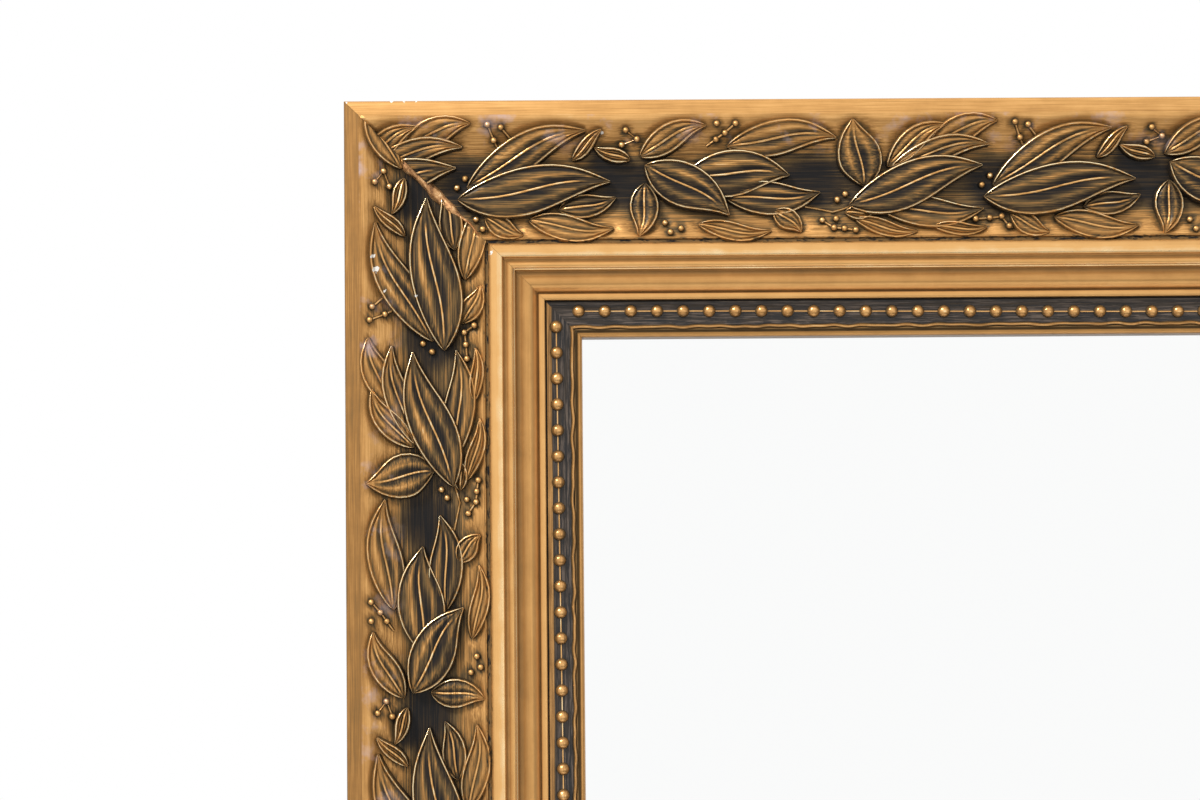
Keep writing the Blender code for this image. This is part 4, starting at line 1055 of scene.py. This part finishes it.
for number in range(1, 7):
    node = f"clip_screw_{number}"
    low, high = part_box(node)
    fit(screw(node + "_pan_head", (low.x + high.x) / 2, (low.z + high.z) / 2, high.y),
        "mirror_panel", "zinc_steel", node)
PLATE_WIDTH = 20 * MM
PLATE_HOLES = (38.25 * MM, 74.8 * MM)  # from a plate's corner along each of its legs
number = 0
for across in ("left", "right"):
    for level in ("top", "bottom"):
        low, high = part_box(f"{level}_{across}_corner_plate")
        corner_x, way_x = (low.x, 1) if across == "left" else (high.x, -1)
        corner_z, way_z = (high.z, -1) if level == "top" else (low.z, 1)
        for far in PLATE_HOLES:
            for out, down in ((far, PLATE_WIDTH / 2), (PLATE_WIDTH / 2, far)):
                number += 1
                piece = screw(f"plate_screw_{number}", corner_x + way_x * out, corner_z + way_z * down,
                              high.y + SCREW_HEAD_HEIGHT)
                fit(piece, "mirror_panel", "zinc_steel")

# ---- The posts ----------------------------------------------------------------------------
# Beech, each turned from one square length with two blocks left on it, then gilded over gesso
# and glazed like the frame. The long vase is reeded, and the wiped glaze stays between its reeds.


def plain_tone(tree):
    return attribute(tree, "tone")


stand_gold = gilded("stand_gold", rail_place, plain_tone, 0.30, 0.24, relief=0.00016, with_chips_and_highlights=False)
post_low, post_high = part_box("left_post")
BLOCK = post_high.x - post_low.x
BASE_BLOCK_HEIGHT, PIVOT_BLOCK_HEIGHT = 0.135, 0.110
BLOCK_ARRIS = 1.6 * MM
SHAFT_RADIUS = 15.5 * MM
POST_BOTTOM, POST_TOP = post_low.z, post_high.z
BASE_TOP = POST_BOTTOM + BASE_BLOCK_HEIGHT
PIVOT_BOTTOM = POST_TOP - PIVOT_BLOCK_HEIGHT
POST_X = (post_high.x + post_low.x) / -2
WAIST = BASE_TOP + (PIVOT_BOTTOM - BASE_TOP) * 0.62
REEDS = 12
REED_FADE = 14 * MM
WAYS = {"left": -1, "right": 1}


def reeds(low, high, depth=0.085, twist=0.0):
    """A shape of rounded reeds side by side between two levels, with dark lines between them."""
    def shape(radius, along, turn, shade):
        part = window(np.abs(along), low, high, REED_FADE) ** 0.5
        valley = (1 - np.abs(np.cos(REEDS / 2 * (turn + twist * along)))) ** 1.4
        return radius * (1 - depth * part * valley), along, shade - 0.62 * part * valley
    return shape


upper_reeds = reeds(BASE_TOP + 0.124, WAIST - 0.020)
lower_reeds = reeds(BASE_TOP + 0.022, BASE_TOP + 0.102, 0.07)


def post_shape(radius, along, turn, shade):
    """The square blocks, with their arrises eased, and the reeds on the two long vases."""
    across, beside = np.abs(np.cos(turn)), np.abs(np.sin(turn))
    face = BLOCK / 2 / np.maximum(across, beside)
    arris = (BLOCK - BLOCK_ARRIS) / (across + beside)
    cut = np.minimum(face, arris)
    shade = shade + np.where((radius > cut) & (arris < face), 0.16, 0) - np.where(radius > face, 0.04, 0)
    radius, along, shade = upper_reeds(np.minimum(radius, cut), along, turn, shade)
    return lower_reeds(radius, along, turn, shade)


def block_profile(top, bottom):
    """A block left square, its ends cut to a rounded shoulder on the lathe."""
    shoulder, corner = 18.4, BLOCK * 0.709 / MM
    return (turning(top, [(shoulder, 0), (corner, -9.0, 2.2)])
            + turning(bottom, [(corner, 9.0), (shoulder, 0, 2.2)]))


POST = [
    (0, POST_TOP),
    *block_profile(POST_TOP, PIVOT_BOTTOM),
    *turning(PIVOT_BOTTOM, [
        (1.15, -6), (1.15, -18, 5), (0.92, -18.5), (0.80, -21, -0.6), (0.80, -60, -3), (1.05, -61),
        (1.10, -62), (1.10, -72, 4), (0.88, -72.5), (0.75, -75, -0.6),
    ], SHAFT_RADIUS),
    *turning(WAIST, [
        (1.00, 0, -3), (1.20, -3), (1.20, -13, 4), (0.96, -13.5), (0.85, -16, -0.5),
    ], SHAFT_RADIUS),
    *turning(BASE_TOP, [
        (0.75, 120, 8.5), (1.10, 118.5), (1.15, 117), (1.15, 107, 4), (0.90, 106), (0.75, 104, -0.5),
        (0.80, 20, 8.5), (1.15, 18), (1.15, 6, 5),
    ], SHAFT_RADIUS),
    *block_profile(BASE_TOP, POST_BOTTOM),
    (0, POST_BOTTOM),
]
ease = np.arctan((BLOCK / 2 - BLOCK_ARRIS) / (BLOCK / 2))
corners = [quarter + angle for quarter in np.arange(4) * math.pi / 2 for angle in (ease, math.pi / 2 - ease)]
post_turn = np.unique(np.round(np.concatenate([full_turn(120)[0], corners]), 6))
for side, way in WAYS.items():
    piece = turned_piece(side + "_turned_post", (way * POST_X, 0, 0), "z", POST, stand_gold,
                         post_shape, post_turn, angle=30)
    fit(piece, "stand", "gilt_stand", side + "_post")

# ---- The rosettes -------------------------------------------------------------------------
# A pressed compo flower glued on the front and back of each pivot block, gilded with the post.

PETALS = 8


def petal_shape(radius, along, turn, shade):
    """Round petals with dark creases between them, about a button in the middle."""
    outer = np.clip((radius - 4.6 * MM) / (1.5 * MM), 0, 1)
    petal = np.abs(np.cos(PETALS / 2 * turn)) ** 0.55
    vein = np.clip(1 - np.abs(np.sin(PETALS / 2 * turn)) * 5, 0, 1)
    radius = radius * (1 - 0.17 * outer * (1 - petal))
    along = along * (1 - 0.72 * outer * (1 - petal) - 0.22 * outer * vein)
    return radius, along, shade - 0.55 * outer * (1 - petal) - 0.18 * outer * vein


ROSETTE = turning(0, [
    (0, 5.2), (3.2, 3.8, 0.7), (4.3, 1.0, 0.2), (5.4, 1.4), (10.5, 4.2, 0.8), (16.2, 1.8, 0.9),
    (17.4, 0), (0, -0.6),
])
for side, way in WAYS.items():
    for end, axis in ((-1, "-y"), (1, "y")):
        centre = (way * POST_X, end * BLOCK / 2, (POST_TOP + PIVOT_BOTTOM) / 2)
        name = f"{side}_{'front' if end < 0 else 'back'}_rosette"
        fit(turned_piece(name, centre, axis, ROSETTE, stand_gold, petal_shape, 96, 0.74, 60),
            "stand", "gilt_stand")

# ---- The finials and drops ----------------------------------------------------------------
# Turned beech ornaments on dowels: an urn with a twisted body above, a pendant bud below.

finial_low, finial_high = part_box("left_finial")
drop_low, drop_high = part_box("left_drop")
DOWEL_LENGTH, DOWEL_RADIUS = 20 * MM, 8 * MM
FINIAL_BASE = finial_low.z + DOWEL_LENGTH
DROP_BASE = drop_high.z - DOWEL_LENGTH


FINIAL = [(0, finial_high.z), *turning(FINIAL_BASE, [
    (3.5, 112, 1.2), (5.0, 98, -0.8), (7.4, 93), (8.0, 92), (8.0, 86, 2.8), (6.6, 85.5), (6.2, 84),
    (10.5, 44, 11.0), (9.5, 40), (9.5, 33, 3.0), (8.0, 31), (17.0, 12, -3.5), (18.0, 11), (18.5, 10),
    (18.5, 0, 2.0), (DOWEL_RADIUS / MM, 0),
]), (DOWEL_RADIUS, finial_low.z), (0, finial_low.z)]
DROP = [(0, drop_high.z), (DOWEL_RADIUS, drop_high.z), *turning(DROP_BASE, [
    (DOWEL_RADIUS / MM, 0), (18.0, 0), (18.0, -6, 2.0), (16.5, -6.5), (10.0, -13, -2.0), (9.5, -14),
    (10.0, -17, 1.2), (6.0, -42, 9.0),
]), (0, drop_low.z, 1.0 * MM)]
finial_reeds = reeds(FINIAL_BASE + 0.034, FINIAL_BASE + 0.090, 0.10, 26.0)
drop_reeds = reeds(DROP_BASE - 0.052, DROP_BASE - 0.012, 0.08)
for side, way in WAYS.items():
    for kind, profile, shape in (("finial", FINIAL, finial_reeds), ("drop", DROP, drop_reeds)):
        centre = (way * POST_X, 0, 0)
        piece = turned_piece(f"{side}_turned_{kind}", centre, "z", profile, stand_gold, shape, 96)
        fit(piece, "stand", "gilt_stand", f"{side}_{kind}")

# ---- The legs -----------------------------------------------------------------------------
# Sawn from 34 mm beech and carved: moulded edges, a sunk panel in each side and a scroll at the
# knee and at the toe, then gessoed and gilded. Each is tenoned into its post's base block.

TOUCH_GAP = 0.3 * MM  # between pieces that touch
LEG_TOP = BASE_TOP - 10 * MM
LEG_LOW = LEG_TOP - 100 * MM
leg_low, leg_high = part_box("left_back_leg")
SOLE = leg_low.z
REACH = leg_high.y - BLOCK / 2 - TOUCH_GAP
UPPER = [
    *turning(LEG_TOP, [(0, 0), (0.10, -4), (0.45, -70, 11)], REACH),
    *turning(SOLE, [(0.74, 52, -6), (0.92, 40, -4), (1, 18, 10)], REACH),
    (REACH - 2.4 * MM, SOLE + 5 * MM, 1.6 * MM),
]
LOWER = [
    *turning(LEG_LOW, [(0, 0), (0.12, 6), (0.30, 4, 6)], REACH),
    *turning(SOLE, [(0.66, 18, -16), (0.78, 0, 3), (0.93, 0)], REACH),
    (REACH - 3.4 * MM, SOLE + 2 * MM, -0.8 * MM),
]
# half the leg's section in millimetres: out from its middle, how far in from the lower edge
# (first group) or from the upper edge (second), and the tone of the gold
LOWER_EDGE = [
    (0.0, 0.0, 0.50), (9.0, 0.0, 0.52), (13.4, 0.9, 0.66), (15.9, 2.6, 0.78), (17.0, 5.0, 0.86),
    (16.9, 7.2, 0.84), (15.8, 8.2, 0.40), (15.0, 9.6, 0.42), (15.1, 12.0, 0.60),
]
UPPER_EDGE = [
    (15.1, 12.0, 0.60), (15.0, 9.8, 0.42), (15.8, 8.6, 0.40), (16.9, 7.6, 0.84), (17.0, 5.2, 0.88),
    (15.9, 2.6, 0.82), (13.2, 1.0, 0.74), (10.2, 1.3, 0.55), (8.6, 2.7, 0.28), (7.4, 2.4, 0.44),
    (5.6, 0.9, 0.78), (2.8, 0.1, 0.90), (0.0, -0.2, 0.92),
]
LEG_STATIONS = 90
FULL_EDGE = 30 * MM  # a stretch of leg narrower than this has its edges drawn in


def evenly(line, count):
    """The same line as this many points at even distances."""
    travel = np.concatenate([[0], np.cumsum(np.linalg.norm(np.diff(line, axis=0), axis=1))])
    at = np.linspace(0, travel[-1], count)
    return np.stack([np.interp(at, travel, line[:, 0]), np.interp(at, travel, line[:, 1])], axis=1)


def carved_bead(relief, route, radius, proud):
    """A half-round bead along a route of (out, up) points, on the leg's side at this depth."""
    slope = np.gradient(route, axis=0)
    normal = left_of(slope)
    taper = np.interp(np.linspace(0, 1, len(route)), (0, 0.12, 0.85, 1), (0.35, 1, 0.8, 0.55))[:, None]
    half = np.linspace(-1.25, 1.25, 9)
    offset = np.sin(half) * radius * taper
    rise = np.cos(half) * radius * taper
    ring = np.concatenate([offset, offset[:, ::-1][:, 3:-3] * 0.5], axis=1)
    height = np.concatenate([rise, np.full_like(rise[:, 3:-3], -1.5 * MM)], axis=1)
    tones = np.concatenate([np.interp(np.cos(half), (0.3, 0.6, 1), (0.25, 0.6, 0.95)), np.full(3, 0.2)])
    place = route[:, None, :] + normal[:, None, :] * ring[..., None]
    points = np.concatenate([place, (proud + height)[..., None]], axis=-1)
    relief.take(points, tube_faces(*ring.shape, 1), tones[None, :] + 0 * ring)


def scroll(centre, start_radius, start_angle, way, turns=1.75):
    """A spiral that winds in to its eye."""
    turn = np.linspace(0, turns * 2 * math.pi, 60)
    radius = start_radius * np.exp(-0.165 * turn)
    angle = start_angle + way * turn
    return np.stack([centre[0] + radius * np.cos(angle), centre[1] + radius * np.sin(angle)], axis=1)


def leg_relief():
    """A whole leg as (out, up, across) points: its body, and the scrolls on both sides."""
    relief = Relief()
    upper, lower = evenly(arc_line(UPPER), LEG_STATIONS), evenly(arc_line(LOWER), LEG_STATIONS)
    height = np.linalg.norm(upper - lower, axis=1)[:, None]
    direction = (upper - lower) / height
    draw = np.minimum(1, height / FULL_EDGE)
    half = [("low", *point) for point in LOWER_EDGE] + [("up", *point) for point in UPPER_EDGE]
    ring = half + [(edge, -across, down, tone) for edge, across, down, tone in half[::-1] if across]
    columns, tones = [], []
    for edge, across, down, tone in ring:
        inset = down * MM * draw
        place = lower + direction * inset if edge == "low" else upper - direction * inset
        columns.append(np.column_stack([place, np.full(len(place), across * MM)]))
        tones.append(np.full(len(place), tone))
    points, shade = np.stack(columns, axis=1), np.stack(tones, axis=1)
    relief.take(points, tube_faces(*shade.shape, 1), shade)
    knee = (REACH * 0.20, LEG_TOP - 50 * MM)
    toe = (REACH * 0.875, SOLE + 20 * MM)
    for across in (1, -1):
        for centre, size, angle, way in ((knee, 24 * MM, 2.2, -1), (toe, 13 * MM, 1.9, -1)):
            part = Relief()
            carved_bead(part, scroll(centre, size, angle, way), 2.0 * MM * size**0.5 / 0.14, 15.3 * MM)
            for points, tone in zip(part.points, part.tone):
                points = points * (1, 1, across)
                faces = [face[::across] for face in part.faces]
                relief.take(points, faces, tone)
    return relief


leg = leg_relief()
leg_points = np.concatenate(leg.points)
leg_tone = np.concatenate(leg.tone)
for side, way in WAYS.items():
    for end in (-1, 1):
        name = f"{side}_{'front' if end < 0 else 'back'}_leg"
        out, up, across = leg_points.T
        points = np.stack([way * POST_X + across * end, end * (BLOCK / 2 + TOUCH_GAP + out), up], axis=1)
        piece = new_piece(name + "_carved", points, leg.faces, stand_gold, 32,
                          rail=np.stack([out, across, up], axis=1), tone=leg_tone)
        fit(piece, "stand", "gilt_stand", name)

# ---- The glides ---------------------------------------------------------------------------
# Discs of dark pressed felt on a hard core, one glued under each foot.

felt = mottled(
    "pressed_felt",
    [(0.30, (0.022, 0.020, 0.018)), (0.52, (0.058, 0.053, 0.048)), (0.74, (0.120, 0.112, 0.102))],
    (0.90, 1.0), 0.0, 1500.0, 0.0004, specular=0.1,
)
felt.node_tree.nodes["Principled BSDF"].inputs["Sheen Weight"].default_value = 0.4
for side in WAYS:
    for end in ("front", "back"):
        node = f"{side}_{end}_glide"
        low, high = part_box(node)
        radius, height = (high.x - low.x) / 2, high.z
        centre = ((low.x + high.x) / 2, (low.y + high.y) / 2, 0)
        profile = [
            (0, height), (radius, height), (radius, height * 0.55, 0.2 * MM), (radius * 0.985, height * 0.52),
            (radius, height * 0.49), (radius, 1.5 * MM), (radius - 1.5 * MM, 0, 0.5 * MM), (0, 0),
        ]
        fit(turned_piece(node + "_disc", centre, "z", profile, felt), "stand", "felt", node)

# ---- The stretcher ------------------------------------------------------------------------
# A turned beech rail between the base blocks, its middle a double vase with reeds, gilded.

stretcher_low, stretcher_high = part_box("stretcher")
STRETCHER_RADIUS = 12.5 * MM
STRETCHER_Z = (stretcher_low.z + stretcher_high.z) / 2
STRETCHER_END = POST_X - BLOCK / 2 - TOUCH_GAP
half = [
    (0, stretcher_high.x), (9.0 * MM, stretcher_high.x), (9.0 * MM, STRETCHER_END),
    *turning(STRETCHER_END, [(1.10, 0), (1.10, -10, 4), (0.88, -10.5), (0.75, -13, -0.5)], STRETCHER_RADIUS),
    *turning(0, [
        (0.95, 105, 2), (1.12, 103), (1.15, 102), (1.15, 93, 4), (0.92, 92.5), (0.75, 90, -0.4),
        (0.80, 20, 10), (1.10, 18), (1.15, 17), (1.15, 10, 3), (0.95, 8),
    ], STRETCHER_RADIUS),
]
# the other half the other way, where each arc's rise belongs to the member after it
rises = [(), *(member[2:] for member in half[:0:-1])]
other_half = [(out, -along, *rise) for (out, along, *_), rise in zip(half[::-1], rises)]
stretcher_reeds = reeds(24 * MM, 86 * MM, 0.08)
piece = turned_piece("turned_stretcher", (0, 0, STRETCHER_Z), "x", half + other_half, stand_gold,
                     stretcher_reeds, 96)
fit(piece, "stand", "gilt_stand", "stretcher")

# ---- The stretcher bolts ------------------------------------------------------------------
# A brass machine screw through each base block into the stretcher's end, with a low domed head.

brass = mottled(
    "dulled_brass",
    [(0.26, (0.095, 0.058, 0.026)), (0.42, (0.300, 0.195, 0.075)), (0.54, (0.560, 0.390, 0.150)),
     (0.76, (0.720, 0.530, 0.230))],
    (0.42, 0.24), 1.0, 120.0, 0.00003,
)


bolt_recess = cross_recess(2.0 * MM, 4.6 * MM, 5, 0.5, -3 * MM)
for side, way in WAYS.items():
    node = side + "_stretcher_bolt"
    low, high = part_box(node)
    outer = high.x if way > 0 else low.x
    length = high.x - low.x
    profile = turning(0, [(0, 0), (6.0, -1.2, 0.35), (8.0, -3.0, 0.5), (8.0, -4.0), (3.0, -4.0),
                          (3.0, -length / MM), (0, -length / MM)])
    piece = turned_piece(node + "_dome", (outer, 0, STRETCHER_Z), "x" if way > 0 else "-x", profile, brass,
                         bolt_recess, 64, angle=50)
    fit(piece, "stand", "brass", node)

# ---- The tilt clamps ----------------------------------------------------------------------
# At each side a brass stud turns in a brass bush through the post and screws into an insert in
# the stile; a hard fibre ring keeps the frame off the post, and a lobed knob draws it all tight.

PIVOT_Z = (POST_TOP + PIVOT_BOTTOM) / 2
KNOB_LOBES = 6
fibre = mottled(
    "vulcanised_fibre",
    [(0.30, (0.020, 0.016, 0.014)), (0.55, (0.050, 0.040, 0.034)), (0.76, (0.105, 0.086, 0.072))],
    (0.55, 0.80), 0.0, 340.0, 0.00008, (1, 1, 4),
)


def ring_profile(outer, bore, thickness, ease):
    """A flat ring's section, its outer arrises eased."""
    return [
        (bore, thickness), (outer - ease, thickness), (outer, thickness - ease, ease / 4), (outer, ease),
        (outer - ease, 0, ease / 4), (bore, 0), (bore, thickness),
    ]


def knob_shape(radius, along, turn, shade):
    """Six lobes for the fingers, dying out towards the neck."""
    reach = np.clip((radius - 11.0 * MM) / (5.5 * MM), 0, 1) * (along > 3 * MM)
    dip = (1 - np.cos(KNOB_LOBES * turn)) / 2
    return radius * (1 - 0.14 * reach * dip), along, shade


KNOB = turning(0, [
    (0, 30.0), (2.6, 29.6, 0.15), (3.4, 28.6, -0.1), (9.4, 25.0, 1.3), (10.2, 24.0), (15.6, 20.4, 1.0),
    (16.5, 17.4, 0.5), (15.6, 14.0, 0.5), (13.2, 10.2, 1.0), (9.5, 6.0, -1.1), (9.9, 5.0), (11.0, 4.2, 0.3),
    (11.0, 0, 0.6), (4.3, 0), (4.3, 15.0), (0, 15.0),
])
for side, way in WAYS.items():
    axis = "x" if way > 0 else "-x"
    for node, body, outer, bore, look, slot in (
        (side + "_spacer", "stand", 14.0 * MM, 4.6 * MM, fibre, "fibre"),
        (side + "_knob_washer", side + "_washer", 13.0 * MM, 4.6 * MM, brass, "brass"),
    ):
        low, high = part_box(node)
        inner = low.x if way > 0 else high.x
        profile = ring_profile(outer, bore, high.x - low.x, 0.35 * MM)
        piece = turned_piece(node + "_ring", (inner, 0, PIVOT_Z), axis, profile, look, turn=96, angle=30)
        fit(piece, body, slot, node)
    low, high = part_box(side + "_knob")
    inner = low.x if way > 0 else high.x
    piece = turned_piece(side + "_lobed_knob", (inner, 0, PIVOT_Z), axis, KNOB, brass, knob_shape, 120,
                         angle=40)
    fit(piece, side + "_clamp", "brass", side + "_knob")
    refinish(brass, side + "_bush", side + "_stud", side + "_insert")

# ---- The studio ---------------------------------------------------------------------------
# A pale floor, soft light from the upper left and front, and a camera on the top left corner.

bpy.ops.mesh.primitive_circle_add(vertices=128, radius=1.3, fill_type="NGON")
floor = bpy.context.object
floor.name = "studio_floor"
floor_look, tree, shader = new_material("studio_paper", (0.86, 0.86, 0.85), 0.8)
floor.data.materials.append(floor_look)

scene = bpy.context.scene
scene.view_settings.view_transform = "Standard"
scene.world = scene.world or bpy.data.worlds.new("studio")
scene.world.use_nodes = True
sky = scene.world.node_tree
sky.nodes.clear()
direction = add(sky, "TexCoord").outputs["Generated"]
# brighter from the upper left and front, darker from the lower right
lean = vectors(sky, "DOT_PRODUCT", direction, (-0.30, -0.25, 0.92), "Value")
level = span(sky, lean, -0.8, 0.9, 0.08, 1.25)
front = vectors(sky, "DOT_PRODUCT", direction, (0, -1, 0), "Value")
card = add(sky, "MapRange", {"interpolation_type": "SMOOTHSTEP"}, Value=front, i1=0.90, i2=0.95)
mixed = add(sky, "Mix", {"data_type": "FLOAT"}, i0=card.outputs[0], i2=level, i3=0.98)
seen = add(sky, "LightPath")
strength = add(sky, "Mix", {"data_type": "FLOAT"}, i0=seen.outputs["Is Camera Ray"],
               i2=mixed.outputs[0], i3=1.0)
background = add(sky, "Background", Color=(1, 1, 1, 1), Strength=strength.outputs[0])
link(sky, background.outputs[0], add(sky, "OutputWorld").inputs["Surface"])


def soft_light(name, place, aim, size, power):
    lamp = bpy.data.lights.new(name, "AREA")
    lamp.shape = "SQUARE"
    lamp.size = size
    lamp.energy = power
    light = bpy.data.objects.new(name, lamp)
    light.location = place
    light.rotation_euler = (Vector(aim) - Vector(place)).to_track_quat("-Z", "Y").to_euler()
    scene.collection.objects.link(light)
    return light


soft_light("key_light", (-1.5, -1.5, 3.2), (-0.15, 0, 1.5), 0.6, 60)
soft_light("fill_light", (1.6, -2.2, 1.2), (0, 0, 0.9), 1.2, 4)

camera_data = bpy.data.cameras.new("corner_camera")
camera_data.lens = 78
camera_data.sensor_width = 36
camera = bpy.data.objects.new("corner_camera", camera_data)
camera.location = (FRAME_LEFT + 0.0835, -1.0504, FRAME_TOP - 0.1569)
camera.rotation_euler = [math.radians(a) for a in (91.996, 0.477, -0.992)]
scene.collection.objects.link(camera)
scene.camera = camera
